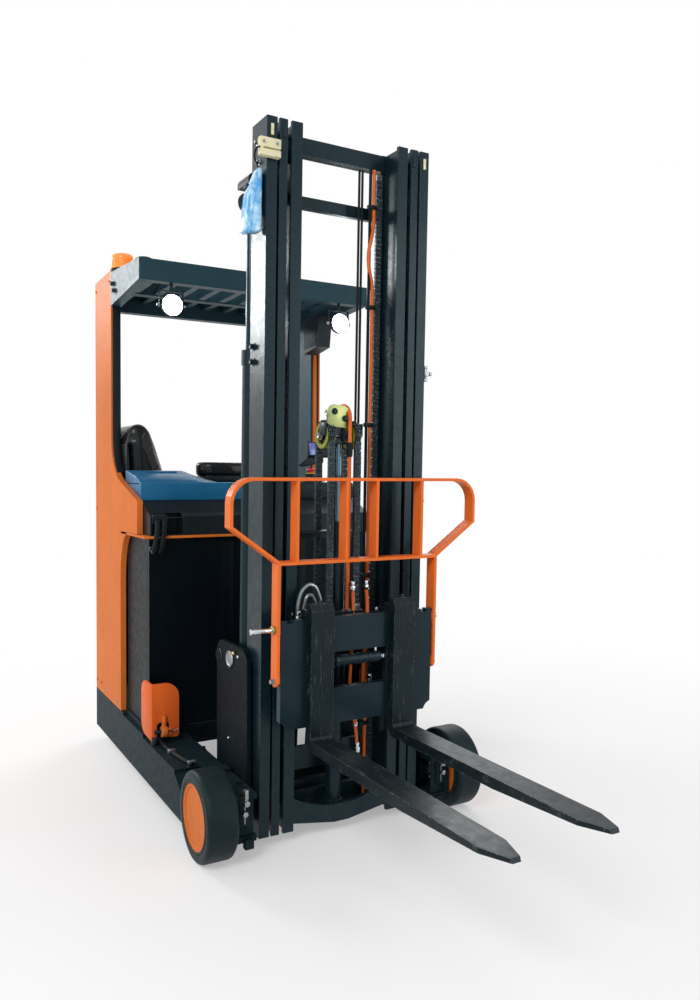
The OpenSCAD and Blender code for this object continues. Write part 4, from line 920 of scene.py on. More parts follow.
@dataclass
class LiftHoses(Assembly):
    """Hoses of the lift: over the head, up the inner stage with a loop, and round the carriage."""

    leaning: bool = True
    radius: float = 0.0085

    def over_head(self) -> None:
        """The orange hose from the carriage over the head's sheave, and its rear run."""
        x, y, top = 0.0105, 0.022, 1.725
        foot = at(x, y, 0.935)
        low = self.own(tube("lift_hose_low", [foot, foot + UP * 0.36, foot + UP * 0.72], self.radius), HOSE_ORANGE,
                       "orange_hose", "fork_carriage", replaces=("lift_hoses",))
        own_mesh(low)
        crown = at(x, y, top)
        high = self.own(tube("lift_hose_high", [crown - UP * 0.72, crown - UP * 0.36, crown], self.radius * 0.96),
                        HOSE_ORANGE, "orange_hose", "free_lift_head")
        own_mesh(high)
        arc = [at(-0.048 + 0.0585 * math.cos(a), y, top + 0.0585 * math.sin(a))
               for a in [math.radians(d) for d in range(0, 181, 15)]]
        rear = [at(-0.1065, y, top - drop) for drop in (0.1, 0.3, 0.5)]
        self.own(tube("lift_hose_top", arc + rear, self.radius), HOSE_ORANGE, "orange_hose", "free_lift_head")
        collar = lathe("hose_sleeve", [(self.radius, -0.03), (0.0125, -0.028), (0.0135, 0.0), (0.0125, 0.028),
                                       (self.radius, 0.03)], at(x, y, 1.60), UP, 20)
        self.own(collar, HOSE_BLACK, "rubber", "free_lift_head")

    def up_the_mast(self) -> None:
        """Two hoses up the inner stage, with the slack loop of one near its top, and their clips."""
        for number, (y, finish) in enumerate(((0.168, HOSE_ORANGE), (0.150, HOSE_BLACK))):
            route = [at(-0.0747, y, z) for z in (0.0908, 0.5, 1.1, 1.7, 2.22)]
            if number == 0:
                route += [at(-0.0747, y - 0.002, 2.30), at(-0.070, y - 0.022, 2.38), at(-0.066, y - 0.026, 2.44),
                          at(-0.068, y - 0.012, 2.50), at(-0.0747, y, 2.56)]
            route += [at(-0.0747, y, z) for z in (2.66, 2.786)]
            self.own(tube(f"mast_hose_{number}", route, 0.008 - 0.001 * number), finish, "orange_hose", "mast_inner",
                     replaces=("mast_hoses",))
        clips = [joined("clip", [block("clip", at(-0.083, 0.138, z), at(-0.064, 0.180, z + 0.018), 0.003),
                                 rod("clip", at(-0.064, 0.159, z + 0.009), at(-0.060, 0.159, z + 0.009), 0.005, 12)])
                 for z in (0.40, 1.05, 1.70, 2.20, 2.62)]
        self.own(joined("hose_clips", clips), BLACK_PLASTIC, "black_plastic", "mast_inner")
        for number, y in enumerate((0.118, 0.103)):
            route = [at(-0.088, y, z) for z in (1.30, 1.6, 2.0, 2.4, 2.78)]
            self.own(tube(f"signal_cable_{number}", route, 0.0055), HOSE_BLACK, "rubber", "mast_inner")

    def at_carriage(self) -> None:
        """Short hoses between the carriage and the side shift cylinder, with their end fittings."""
        routes = [
            ("arch", BRAIDED, 0.0085, [(0.050, -0.226, 0.930), (0.052, -0.224, 0.99), (0.056, -0.200, 1.045),
                                          (0.058, -0.168, 1.055), (0.058, -0.136, 1.01), (0.056, -0.122, 0.93)]),
            ("arch_low", BRAIDED, 0.007, [(0.050, -0.205, 0.93), (0.052, -0.200, 0.97), (0.055, -0.178, 1.015),
                                             (0.056, -0.152, 0.99), (0.055, -0.142, 0.93)]),
            ("window_a", HOSE_BLACK, 0.0075, [(0.062, -0.050, 0.60), (0.066, -0.046, 0.68), (0.066, -0.044, 0.78),
                                              (0.060, -0.04, 0.87)]),
            ("window_b", HOSE_BLACK, 0.0075, [(0.062, -0.024, 0.60), (0.066, -0.022, 0.68), (0.066, -0.024, 0.78),
                                              (0.060, -0.022, 0.87)]),
            ("feed_a", HOSE_ORANGE, 0.0075, [(0.030, 0.037, 1.02), (0.040, 0.036, 0.95), (0.062, 0.022, 0.86),
                                             (0.068, 0.012, 0.74), (0.066, 0.011, 0.60), (0.030, 0.05, 0.50),
                                             (0.004, 0.075, 0.44), (0.0, 0.090, 0.33)]),
            ("feed_b", HOSE_ORANGE, 0.0075, [(0.022, 0.106, 1.02), (0.040, 0.104, 0.95), (0.060, 0.090, 0.86),
                                             (0.068, 0.072, 0.74), (0.066, 0.070, 0.60), (0.044, 0.072, 0.545)]),
        ]
        for name, finish, radius, points in routes:
            self.own(tube("carriage_hose_" + name, [at(*p) for p in points], radius, 6), finish, "orange_hose",
                     "fork_carriage")
        ends = [((0.058, -0.226, 0.915), UP, 0.020), ((0.056, -0.122, 0.915), UP, 0.020), ((0.066, 0.103, 0.625), UP, 0.022),
                ((0.0, 0.076, 0.430), UP, 0.022), ((0.0, 0.090, 0.315), UP, 0.022), ((0.030, 0.037, 1.015), UP, 0.020),
                ((0.022, 0.106, 1.015), UP, 0.020), ((0.066, -0.050, 0.596), UP, 0.018), ((0.066, -0.024, 0.596), UP, 0.018)]
        nuts = []
        for place, axis, size in ends:
            base = at(*place)
            nuts += [rod("nut", base, base + Vector(axis) * size, size * 0.55, 6, 0.0012),
                     rod("nut", base + Vector(axis) * size, base + Vector(axis) * size * 1.9, size * 0.42, 16, 0.001)]
        nuts.append(rod("nipple", at(0.062, 0.134, 0.90), at(0.062, 0.134, 0.945), 0.006, 12, 0.001))
        self.own(joined("hose_fittings", nuts), BRIGHT_STEEL, "bare_steel", "fork_carriage")

    def build(self) -> None:
        """Models all the hoses."""
        self.over_head()
        self.up_the_mast()
        self.at_carriage()


@dataclass
class MastDetails(Assembly):
    """Fastenings, slide pads, the cable block, the lamp and the fittings on the columns."""

    body: str = "mast_outer"
    leaning: bool = True
    front_x: float = 0.030
    web_y: float = 0.374
    top_z: float = 2.865

    def fastenings(self) -> None:
        """White and dark bolts on the outer columns, and the stop bolts of the bars."""
        right, left = (0, -1, 0), (0, 1, 0)
        white = [turned(at(-0.060, -self.web_y, 2.787), right), turned(at(-0.040, -self.web_y, 2.707), right),
                 turned(at(-0.060, self.web_y, 2.787), left), turned(at(-0.040, self.web_y, 2.707), left)]
        self.own(repeated("column_bolts", bolt(0.017), white), PLAIN_STEEL, "bare_steel")
        dark = []
        for side in Side:
            y = side.value * self.web_y
            out = (0, side.value, 0)
            dark += [turned(at(-0.075, y, z), out) for z in (0.66, 0.74, 1.94, 2.00)]
        self.own(repeated("web_bolts", bolt(0.022), dark), MAST_DARK, "mast_paint")
        for body, bar_x, heights in (("mast_outer", -0.162, (0.125, 0.71)), ("mast_middle", -0.133, (0.287, 2.82))):
            places = [turned(at(bar_x, y, z), (-1, 0, 0)) for y in (-0.25, -0.21, 0.21, 0.25) for z in heights]
            self.own(repeated("bar_bolts_" + body, bolt(0.020), places), PLAIN_STEEL, "bare_steel", body)

    def slide_pads(self) -> None:
        """Nylon slide pads at the top between the stages."""
        for body, y, width, tone in (("mast_outer", 0.352, 0.012, CREAM_PLASTIC), ("mast_middle", 0.300, 0.014, GREY_PLASTIC)):
            pads = []
            for side in Side:
                low, high = sorted((side.value * (y - width / 2), side.value * (y + width / 2)))
                pads.append(block("pad", at(self.front_x - 0.001, low, 2.792), at(self.front_x + 0.005, high, 2.836), 0.002))
                pads.append(rod("pad", at(self.front_x + 0.004, (low + high) / 2, 2.814),
                                at(self.front_x + 0.0065, (low + high) / 2, 2.814), 0.004, 12))
            self.own(joined("slide_pads_" + body, pads), tone, "cream_plastic", body)

    def cable_block(self) -> None:
        """The pale guide block with its slot, lips and two screws."""
        low, high = -0.412, -0.325
        body = [block("block", at(0.030, low, 2.703), at(0.042, high, 2.772), 0.003),
                block("block", at(0.041, low, 2.703), at(0.056, high, 2.729), 0.003),
                block("block", at(0.041, low, 2.734), at(0.056, high, 2.772), 0.003),
                block("block", at(0.041, low, 2.728), at(0.056, low + 0.015, 2.736), 0.002)]
        self.own(joined("cable_block", body), CREAM_PLASTIC, "cream_plastic", replaces=("mast_block",))
        self.own(repeated("cable_block_screws", socket_screw(0.011), [
            turned(at(0.056, y, 2.753), (1, 0, 0)) for y in (-0.398, -0.342)]), PLAIN_STEEL, "bare_steel")
        cable = [at(0.052, -0.412, 2.731), at(0.050, -0.424, 2.724), at(0.030, -0.424, 2.700), at(0.006, -0.398, 2.670)]
        self.own(tube("lamp_cable", cable, 0.0035), HOSE_BLACK, "rubber")

    def lamp(self) -> None:
        """The film covered lamp: a wedge with a bright ring face, its bracket, dome and knob."""
        out, base = 0.374, 2.415
        def wedge(grow: float, x0: float, x1: float, name: str, ease: float) -> bpy.types.Object:
            """A wedge on the column's side, grown outwards all round."""
            corners = [(out + 0.008, base + 0.012), (out + 0.084, base), (out + 0.074, base + 0.140),
                       (out + 0.026, base + 0.255), (out + 0.008, base + 0.255)]
            middle = Vector((out + 0.040, base + 0.12))
            shape = [middle + (Vector(c) - middle) * grow for c in corners]
            return plate(name, [(-p.x, p.y) for p in shape], "x", AXLE_X + x0, AXLE_X + x1, ease)
        self.own(wedge(1.0, -0.038, 0.016, "lamp_film", 0.012), BLUE_FILM, "blue_film", crisp=60.0,
                 replaces=("mast_lamp",))
        folds = [plate("fold", [(-(out + 0.010), base + z), (-(out + 0.074 - 0.12 * z), base + z + 0.02),
                                (-(out + 0.076 - 0.12 * z), base + z + 0.006)], "x", AXLE_X + 0.014, AXLE_X + 0.018, 0.001)
                 for z in (0.03, 0.075, 0.12, 0.165)]
        self.own(joined("lamp_film_folds", folds), BLUE_FILM, "blue_film", crisp=60.0)
        centre = at(-0.040, -(out + 0.044), base + 0.130)
        dome = lathe("lamp_dome", [(0, 0), (0.034, 0), (0.036, 0.006), (0.034, 0.020), (0.028, 0.036), (0.016, 0.048),
                                   (0, 0.052)], centre, (-1, 0, 0), 36)
        ring = lathe("ring", [(0.034, 0.006), (0.039, 0.007), (0.039, 0.013), (0.034, 0.014)], centre, (-1, 0, 0), 36)
        knob = lathe("knob", [(0, 0.048), (0.008, 0.048), (0.011, 0.054), (0.010, 0.064), (0, 0.066)], centre, (-1, 0, 0), 20)
        self.own(joined("lamp_dome", [dome, ring, knob]), GREY_PLASTIC, "black_plastic")
        arm = [plate("arm", [(AXLE_X - 0.070, 2.60), (AXLE_X - 0.016, 2.60), (AXLE_X - 0.010, 2.64), (AXLE_X - 0.022, 2.66),
                             (AXLE_X - 0.060, 2.66), (AXLE_X - 0.074, 2.63)], "y", -0.386, -0.3745, 0.003),
               block("arm", at(-0.062, -0.432, 2.600), at(-0.022, -0.3745, 2.612), 0.003),
               block("arm", at(-0.062, -0.386, 2.50), at(-0.022, -0.3745, 2.60), 0.002)]
        self.own(joined("lamp_bracket", arm), BLACK_PLASTIC, "black_plastic")
        self.own(repeated("lamp_bolts", bolt(0.014), [turned(at(-0.042, -0.386, z), (0, -1, 0)) for z in (2.52, 2.635)]),
                 PLAIN_STEEL, "bare_steel")

    def column_fittings(self) -> None:
        """The cross shaped valve and a small fitting on the far column's edge."""
        x, y, z = 0.026, 0.384, 1.934
        cross = [rod("cross", at(x, y, z - 0.030), at(x, y, z + 0.030), 0.0065, 14, 0.001),
                 rod("cross", at(x, y - 0.012, z), at(x, y + 0.026, z), 0.0055, 14, 0.001),
                 rod("cross", at(x, y, z - 0.034), at(x, y, z - 0.022), 0.010, 6, 0.001),
                 rod("cross", at(x, y, z + 0.022), at(x, y, z + 0.034), 0.010, 6, 0.001),
                 rod("cross", at(x, y + 0.016, z), at(x, y + 0.028, z), 0.009, 6, 0.001),
                 block("cross", at(x - 0.011, y - 0.011, z - 0.011), at(x + 0.011, y + 0.011, z + 0.011), 0.002),
                 rod("cross", at(x, 0.372, 1.386), at(x, 0.386, 1.386), 0.007, 6, 0.001)]
        self.own(joined("column_valve", cross), PLAIN_STEEL, "bare_steel")

    def build(self) -> None:
        """Models everything fixed to the outer columns."""
        self.fastenings()
        self.slide_pads()
        self.cable_block()
        self.lamp()
        self.column_fittings()


@dataclass
class LoadGuard(Assembly):
    """Pins, bolts and weld beads of the orange guard over the forks."""

    body: str = "side_shifter"
    leaning: bool = True
    post_y: float = 0.366
    mid_x: float = 0.136

    def build(self) -> None:
        """Models the locking pins, the screws and the welds."""
        steel, green, beads = [], [], []
        for side in Side:
            s = side.value
            reach = 0.095 if side is Side.RIGHT else 0.016
            steel += [rod("pin", at(self.mid_x, s * self.post_y, 0.905), at(self.mid_x, s * (self.post_y + reach), 0.905), 0.010, 20, 0.002),
                      rod("pin", at(self.mid_x, s * (self.post_y + reach - 0.004), 0.905), at(self.mid_x, s * (self.post_y + reach + 0.004), 0.905), 0.012, 20, 0.002)]
            green.append(lathe("ring", [(0.009, 0.0), (0.016, 0.002), (0.016, 0.010), (0.009, 0.012)],
                               at(self.mid_x, s * (self.post_y + 0.001), 0.905), (0, s, 0), 24))
            for y in (0.285, 0.070):
                for z in (1.163, 1.473):
                    beads.append(rod("bead", at(0.112, s * (y + 0.0065), z), at(0.160, s * (y + 0.0065), z), 0.0035, 8))
                    beads.append(rod("bead", at(0.112, s * (y - 0.0065), z), at(0.160, s * (y - 0.0065), z), 0.0035, 8))
        self.own(joined("guard_pins", steel), BRIGHT_STEEL, "bare_steel")
        self.own(joined("guard_pin_rings", green), YELLOW_ZINC, "zinc_plate")
        self.own(joined("guard_welds", beads), GUARD_ORANGE, "guard_paint", crisp=60.0)
        places = [turned(at(self.mid_x, s * self.post_y, 0.706), (0, s, 0)) for s in (-1, 1)]
        self.own(repeated("guard_bolts", bolt(0.019), places), PLAIN_STEEL, "bare_steel")


@dataclass
class Carriage(Assembly):
    """The fork carriage's fixings and the side shift cylinder."""

    body: str = "side_shifter"
    leaning: bool = True

    def build(self) -> None:
        """Models the cylinder, the wear strip, the carriage's nuts and grease nipples and the forks' latches."""
        x, z = 0.142, 0.760
        barrel = lathe("barrel", [(0, -0.11), (0.020, -0.11), (0.0235, -0.106), (0.0235, -0.092), (0.020, -0.088),
                                  (0.020, -0.004), (0.0225, -0.002), (0.0225, 0.006), (0.020, 0.008), (0.020, 0.072),
                                  (0.0245, 0.076), (0.0245, 0.098), (0.016, 0.102), (0, 0.102)], at(x, 0, z), (0, 1, 0), 36)
        rings = [lathe("ring", [(0.0195, y), (0.0225, y + 0.0015), (0.0225, y + 0.0045), (0.0195, y + 0.006)],
                       at(x, 0, z), (0, 1, 0), 36) for y in [-0.08 + 0.016 * i for i in range(5)] + [0.02, 0.036, 0.052]]
        self.own(joined("shift_barrel", [barrel] + rings), MAST_DARK, "mast_paint", replaces=("shift_cylinder",))
        ends = [rod("rod", at(x, -0.1295, z), at(x, 0.1295, z), 0.0085, 20), rod("nut", at(x, 0.112, z), at(x, 0.1295, z), 0.014, 6, 0.001),
                rod("nut", at(x, -0.1295, z), at(x, -0.114, z), 0.014, 6, 0.001),
                rod("port", at(x, 0.084, z + 0.02), at(x, 0.084, z + 0.04), 0.007, 12, 0.001)]
        self.own(joined("shift_rod", ends), BRIGHT_STEEL, "polished_steel")
        latches = []
        for s in (-1, 1):
            y = s * 0.188
            latches += [block("latch", at(0.160, y - 0.013, 0.978), at(0.186, y + 0.013, 1.004), 0.003),
                        rod("latch", at(0.172, y, 1.002), at(0.172, y, 1.012), 0.008, 16, 0.001)]
        self.own(joined("fork_latches", latches), FORK_DARK, "mast_paint")
        bars = [block("bar", at(0.118, -0.30, 0.541), at(0.127, 0.30, 0.548), 0.001)]
        self.own(joined("wear_strip", bars), PLAIN_STEEL, "bare_steel")
        nuts = [turned(at(0.036, s * y, h), (-1, 0, 0)) for s in (-1, 1) for y in (0.225, 0.245) for h in (0.565, 0.875)]
        self.own(repeated("carriage_nuts", bolt(0.018), nuts), PLAIN_STEEL, "bare_steel", "fork_carriage")
        grease = [rod("nipple", at(0.030, s * 0.24, h), at(0.030, s * 0.24, h + 0.012), 0.004, 10, 0.0008)
                  for s in (-1, 1) for h in (0.932,)]
        self.own(joined("grease_nipples", grease), BRIGHT_STEEL, "bare_steel", "fork_carriage")


@dataclass
class Reach(Assembly):
    """The reach carriage's pins and the cover plates of its rollers."""

    body: str = "reach_carriage"
    outer_y: float = 0.402

    def build(self) -> None:
        """Models pivot caps, bolts, the tilt pin's heads and the hoses between the plates."""
        caps, places, small, nipples = [], [], [], []
        for side in Side:
            s = side.value
            axis = (0, s, 0)
            caps.append(lathe("cap", [(0, 0), (0.034, 0), (0.036, 0.003), (0.034, 0.008), (0.026, 0.010), (0.022, 0.007), (0, 0.007)],
                              at(-0.210, s * self.outer_y, 0.722), axis, 32))
            caps.append(lathe("cap", [(0, 0), (0.026, 0), (0.027, 0.002), (0.024, 0.004), (0, 0.004)],
                              at(-0.338, s * self.outer_y, 0.715), axis, 32))
            nipples.append(rod("nipple", at(-0.172, s * self.outer_y, 0.752), at(-0.172, s * (self.outer_y + 0.012), 0.756), 0.006, 12, 0.001))
            nipples.append(rod("nipple", at(-0.172, s * (self.outer_y + 0.006), 0.754), at(-0.150, s * (self.outer_y + 0.008), 0.758), 0.007, 14, 0.002))
            places += [turned(at(x, s * self.outer_y, z), axis) for x, z in ((-0.058, 0.220), (-0.058, 0.130))]
            small += [turned(at(x, s * self.outer_y, z), axis) for x, z in
                      ((-0.224, 0.386), (-0.120, 0.748))]
        self.own(joined("tilt_pin_caps", caps), PLAIN_STEEL, "bare_steel")
        self.own(joined("grease_points", nipples), BRASS_TONE, "zinc_plate")
        self.own(repeated("reach_bolts", bolt(0.024), places), MAST_DARK, "mast_paint")
        self.own(repeated("reach_screws", socket_screw(0.013), small), BRIGHT_STEEL, "bare_steel")
        hoses = []
        for i, y in enumerate((-0.10, -0.055, 0.0, 0.05)):
            route = [at(-0.300, y, 0.232), at(-0.298, y, 0.30), at(-0.280, y * 1.1, 0.42), at(-0.288, y * 1.2, 0.56), at(-0.31, y, 0.68)]
            hoses.append(tube("reach_hose", route, 0.008))
        self.own(joined("reach_hoses", hoses), HOSE_BLACK, "rubber")
        clamp = [block("clamp", at(-0.325, -0.125, 0.235), at(-0.285, 0.075, 0.250), 0.003)]
        self.own(joined("hose_clamp", clamp), PLAIN_STEEL, "bare_steel")


@dataclass
class Wheels(Assembly):
    """Load wheel tyres with rounded shoulders and the dished discs."""

    radius: float = 0.175
    width: float = 0.125
    seat: float = 0.127
    outer_y: float = 0.635

    def tyre(self, side: Side) -> None:
        """One press-on tyre with a raised band and rings on its walls."""
        s, w = side.value, self.width
        wall = [(0.127, 0.0), (0.134, 0.0), (0.136, 0.0025), (0.139, 0.0025), (0.141, 0.0), (0.156, 0.0), (0.165, 0.002),
                (0.1715, 0.007), (0.1745, 0.014), (0.175, 0.022)]
        profile = wall + [(r, w - y) for r, y in reversed(wall)]
        tyre = lathe(f"tyre_{side.name.lower()}", profile, at(0, s * self.outer_y, self.radius), (0, -s, 0), 96)
        self.own(tyre, TYRE_BLACK, "tyre", f"load_wheel_{side.name.lower()}", 50.0, (f"load_tyre_{side.name.lower()}",))

    def disc(self, side: Side) -> None:
        """The disc's rim lip, its dark ring and the bearing cover."""
        s = side.value
        body = f"load_wheel_{side.name.lower()}"
        face = at(0, s * (self.outer_y - 0.009), self.radius)
        lip = lathe("lip", [(0.1262, 0.0055), (0.1268, 0.0075), (0.1225, 0.0078), (0.1185, 0.005), (0.114, 0.0005), (0.112, -0.001),
                            (0.1262, -0.001)], face, (0, s, 0), 96)
        plate_face = lathe("face", [(0, 0.0008), (0.112, 0.0008), (0.114, -0.0005), (0, -0.0005)], face, (0, s, 0), 72)
        self.own(joined(f"disc_{side.name.lower()}", [lip, plate_face]), DISC_ORANGE, "orange_paint", body)
        back = at(0, s * (self.outer_y - self.width + 0.0035), self.radius)
        boss = lathe("boss", [(0.036, 0.0), (0.078, 0.0), (0.080, 0.0025), (0.036, 0.0025)], back, (0, -s, 0), 48)
        self.own(joined(f"hub_back_{side.name.lower()}", [boss]), MAST_DARK, "mast_paint", body)

    def axle_ends(self) -> None:
        """Keeper plates and nuts inside the legs."""
        parts, nuts = [], []
        for s in (-1, 1):
            parts += [rod("keeper", at(0, s * 0.4795, 0.175), at(0, s * 0.470, 0.175), 0.044, 40, 0.002),
                      rod("keeper", at(0, s * 0.471, 0.175), at(0, s * 0.458, 0.175), 0.020, 6, 0.002)]
            nuts += [turned(at(0.032 * math.cos(a), s * 0.470, 0.175 + 0.032 * math.sin(a)), (0, -s, 0))
                     for a in [math.tau * i / 5 for i in range(5)]]
        self.own(joined("axle_keepers", parts), PLAIN_STEEL, "bare_steel", "chassis")
        self.own(repeated("axle_nuts", bolt(0.013), nuts), BRIGHT_STEEL, "bare_steel", "chassis")

    def build(self) -> None:
        """Models both wheels."""
        for side in Side:
            self.tyre(side)
            self.disc(side)
        self.axle_ends()


@dataclass
class LowerBody(Assembly):
    """The legs', battery's and locks' details and the plug with its cables."""

    def legs(self) -> None:
        """Leg end stops, caps, the bolts along the tops and the hose on the right leg."""
        stops, places, rubber = [], [], []
        for s in (-1, 1):
            low, high = sorted((s * 0.420, s * 0.484))
            stops.append(block("stop", at(0.070, low, 0.100), at(0.084, high, 0.238), 0.003))
            rubber.append(rod("bumper", at(0.070, s * 0.452, 0.169), at(0.058, s * 0.452, 0.169), 0.022, 28, 0.004))
            places += [turned(at(x, s * 0.44, 0.262)) for x in (-0.02, 0.04)]
            places += [turned(at(-0.476, s * 0.425, 0.262))]
        fittings = []
        for s in (-1, 1):
            y = s * 0.462
            fittings += [rod("fitting", at(0.106, y, 0.250), at(0.106, y, 0.288), 0.0125, 6, 0.001),
                         rod("fitting", at(0.106, y, 0.222), at(0.106, y, 0.252), 0.0085, 20, 0.001),
                         rod("fitting", at(0.088, y, 0.236), at(0.124, y, 0.236), 0.0120, 6, 0.001),
                         rod("fitting", at(0.096, y + s * 0.004, 0.193), at(0.118, y + s * 0.004, 0.193), 0.0110, 20, 0.003),
                         rod("fitting", at(0.094, y, 0.150), at(0.094, y, 0.222), 0.0045, 12)]
            stops.append(block("stop", at(0.084, *[min(s * 0.428, s * 0.466)], 0.052), at(0.112, max(s * 0.428, s * 0.466), 0.092), 0.004))
            stops.append(block("stop", at(0.083, *[min(s * 0.440, s * 0.484)], 0.140), at(0.098, max(s * 0.440, s * 0.484), 0.262), 0.003))
        self.own(joined("leg_fittings", fittings), PLAIN_STEEL, "bare_steel")
        self.own(joined("leg_stops", stops), FRAME_DARK, "dark_paint")
        self.own(joined("leg_bumpers", rubber), TYRE_BLACK, "rubber")
        self.own(repeated("leg_bolts", bolt(0.020), places), FRAME_DARK, "dark_paint")
        route = [at(-0.755, -0.575, 0.292), at(-0.70, -0.575, 0.285), at(-0.60, -0.570, 0.274), at(-0.48, -0.562, 0.2715), at(-0.36, -0.548, 0.2715),
                 at(-0.30, -0.535, 0.2715)]
        self.own(tube("leg_hose", route, 0.0095), HOSE_BLACK, "rubber")
        clips = [block("clip", at(x - 0.008, -0.580 + 0.03 * i, 0.262), at(x + 0.008, -0.545 + 0.03 * i, 0.283), 0.003)
                 for i, x in enumerate((-0.50, -0.32))]
        self.own(joined("leg_hose_clips", clips), PLAIN_STEEL, "bare_steel")

    def battery(self) -> None:
        """The case's folded edges and ribs, the tray lip and the folds on its sides."""
        front = -0.770
        parts = [block("edge", at(front - 0.004, s * 0.583 - 0.002, 0.31), at(front + 0.003, s * 0.583 + 0.002, 1.18), 0.001)
                 for s in (-1, 1)]
        parts += [block("edge", at(front - 0.002, -0.583, z), at(front + 0.003, 0.583, z + 0.010), 0.001) for z in (0.304, 1.176)]
        parts += [block("rib", at(front - 0.002, s * 0.20 - 0.03, 0.32), at(front + 0.0015, s * 0.20 + 0.03, 1.17), 0.0008) for s in (-1, 1)]
        self.own(joined("battery_edges", parts), BATTERY_BLACK, "battery_case")
        glint = [block("lip", at(front - 0.001, -0.50, 0.290), at(front + 0.006, 0.50, 0.300), 0.001)]
        self.own(joined("tray_lip", glint), FRAME_DARK, "dark_paint")
        sides = [block("side", at(x, s * 0.5845 - 0.001, 0.33), at(x + 0.006, s * 0.5845 + 0.002, 1.15), 0.001)
                 for s in (-1, 1) for x in (-1.10, -0.80)]
        self.own(joined("battery_side_folds", sides), BATTERY_BLACK, "battery_case")

    def locks(self) -> None:
        """Pivot bolts, springs and worn edges of the battery locks."""
        places, coils = [], []
        for s in (-1, 1):
            places += [turned(at(-0.628, s * 0.557, 0.318), (1, 0, 0))]
            coil = [at(-0.640 + 0.0095 * math.cos(t), s * (0.490 + 0.0016 * t), 0.318 + 0.0095 * math.sin(t) + 0.0)
                    for t in [i * math.pi / 4 for i in range(32)]]
            coils.append(tube("spring", coil, 0.0016, 2, 1))
        self.own(repeated("lock_bolts", bolt(0.019), places), PLAIN_STEEL, "bare_steel")
        self.own(joined("lock_springs", coils), PLAIN_STEEL, "bare_steel")
        plates, rollers = [], []
        for s in (-1, 1):
            round_back = [(-0.745 + 0.062 * math.cos(a), 0.476 + 0.062 * math.sin(a)) for a in
                          [math.radians(d) for d in range(90, 181, 15)]]
            round_foot = [(-0.745 + 0.062 * math.cos(a), 0.346 + 0.060 * math.sin(a)) for a in
                          [math.radians(d) for d in range(180, 256, 15)]]
            side = [(-0.652, 0.538)] + round_back + round_foot + [(-0.690, 0.284), (-0.652, 0.282)]
            plates.append(plate("lock", [(u + AXLE_X, v) for u, v in side], "y", *sorted((s * 0.601, s * 0.613)), 0.0015))
            arc = [(s * (0.548 - 0.065 * math.cos(a)), 0.475 + 0.065 * math.sin(a)) for a in
                   [math.radians(d) for d in range(90, -1, -15)]]
            face = [(s * 0.612, 0.282), (s * 0.612, 0.540)] + arc + [
                (s * 0.483, 0.300), (s * 0.492, 0.288), (s * 0.525, 0.288), (s * 0.530, 0.300), (s * 0.530, 0.352), (s * 0.538, 0.362),
                (s * 0.578, 0.362), (s * 0.586, 0.352), (s * 0.586, 0.290), (s * 0.592, 0.282)]
            plates.append(plate("lock", face, "x", AXLE_X - 0.652, AXLE_X - 0.640, 0.0015))
            plates.append(rod("weld", at(-0.653, s * 0.601, 0.30), at(-0.653, s * 0.601, 0.53), 0.006, 12))
            rollers += [rod("roller", at(-0.636, s * 0.543, 0.322), at(-0.636, s * 0.569, 0.322), 0.026, 36, 0.004),
                        rod("roller", at(-0.636, s * 0.556, 0.330), at(-0.630, s * 0.556, 0.395), 0.010, 20, 0.003),
                        block("lug", at(-0.652, *[min(s * 0.520, s * 0.545)], 0.296), at(-0.628, max(s * 0.520, s * 0.545), 0.334), 0.004)]
        self.own(joined("lock_plates", plates), LOCK_ORANGE, "orange_paint", replaces=("battery_locks",))
        self.own(joined("lock_rollers", rollers), DISC_ORANGE, "orange_paint")
        pins = [rod("pin", at(-0.636, s * 0.522, 0.322), at(-0.636, s * 0.600, 0.322), 0.009, 20, 0.001) for s in (-1, 1)]
        pins += [rod("foot", at(-0.646, s * 0.596, 0.2625), at(-0.646, s * 0.596, 0.300), 0.016, 24, 0.002) for s in (-1, 1)]
        self.own(joined("lock_pins", pins), MAST_DARK, "mast_paint")

    def plug(self) -> None:
        """The battery plug with its grip, pins and the two thick looping cables."""
        x, y, z = -0.752, -0.538, 1.286
        parts = [block("plug", at(x - 0.06, y - 0.040, z - 0.024), at(x + 0.004, y + 0.036, z + 0.014), 0.005, 3),
                 block("plug", at(x - 0.06, y - 0.034, z - 0.034), at(x - 0.012, y + 0.030, z + 0.022), 0.004, 3),
                 rod("grip", at(x - 0.006, y - 0.036, z + 0.004), at(x - 0.006, y + 0.032, z + 0.004), 0.006, 14, 0.001)]
        parts += [block("fin", at(x - 0.010, y + dy, z - 0.026), at(x + 0.006, y + dy + 0.003, z + 0.016), 0.0008)
                  for dy in [-0.036 + 0.0105 * i for i in range(7)]]
        self.own(joined("battery_plug_body", parts), BLACK_PLASTIC, "black_plastic", replaces=("battery_plug",))
        route = [(-0.7475, -0.556, 1.276), (-0.737, -0.556, 1.270), (-0.728, -0.557, 1.245), (-0.725, -0.560, 1.215),
                 (-0.724, -0.566, 1.180), (-0.726, -0.571, 1.152), (-0.733, -0.573, 1.136), (-0.744, -0.572, 1.134),
                 (-0.754, -0.570, 1.141), (-0.762, -0.570, 1.143), (-0.7692, -0.570, 1.143)]
        cables = [tube("cable", [at(px, py + dy, pz) for px, py, pz in route], 0.0125, 5, 3) for dy in (0.0, 0.031)]
        self.own(joined("battery_leads", cables), HOSE_BLACK, "rubber", replaces=("battery_cables",))
        boots = [lathe("boot", [(0.0124, -0.006), (0.0170, -0.005), (0.0160, 0.014), (0.0124, 0.016)],
                       at(-0.7685, -0.570 + dy, 1.143), (1, 0, 0), 24) for dy in (0.0, 0.031)]
        self.own(joined("lead_boots", boots), BLACK_PLASTIC, "black_plastic")

    def build(self) -> None:
        """Models everything low on the truck."""
        self.legs()
        self.battery()
        self.locks()
        self.plug()


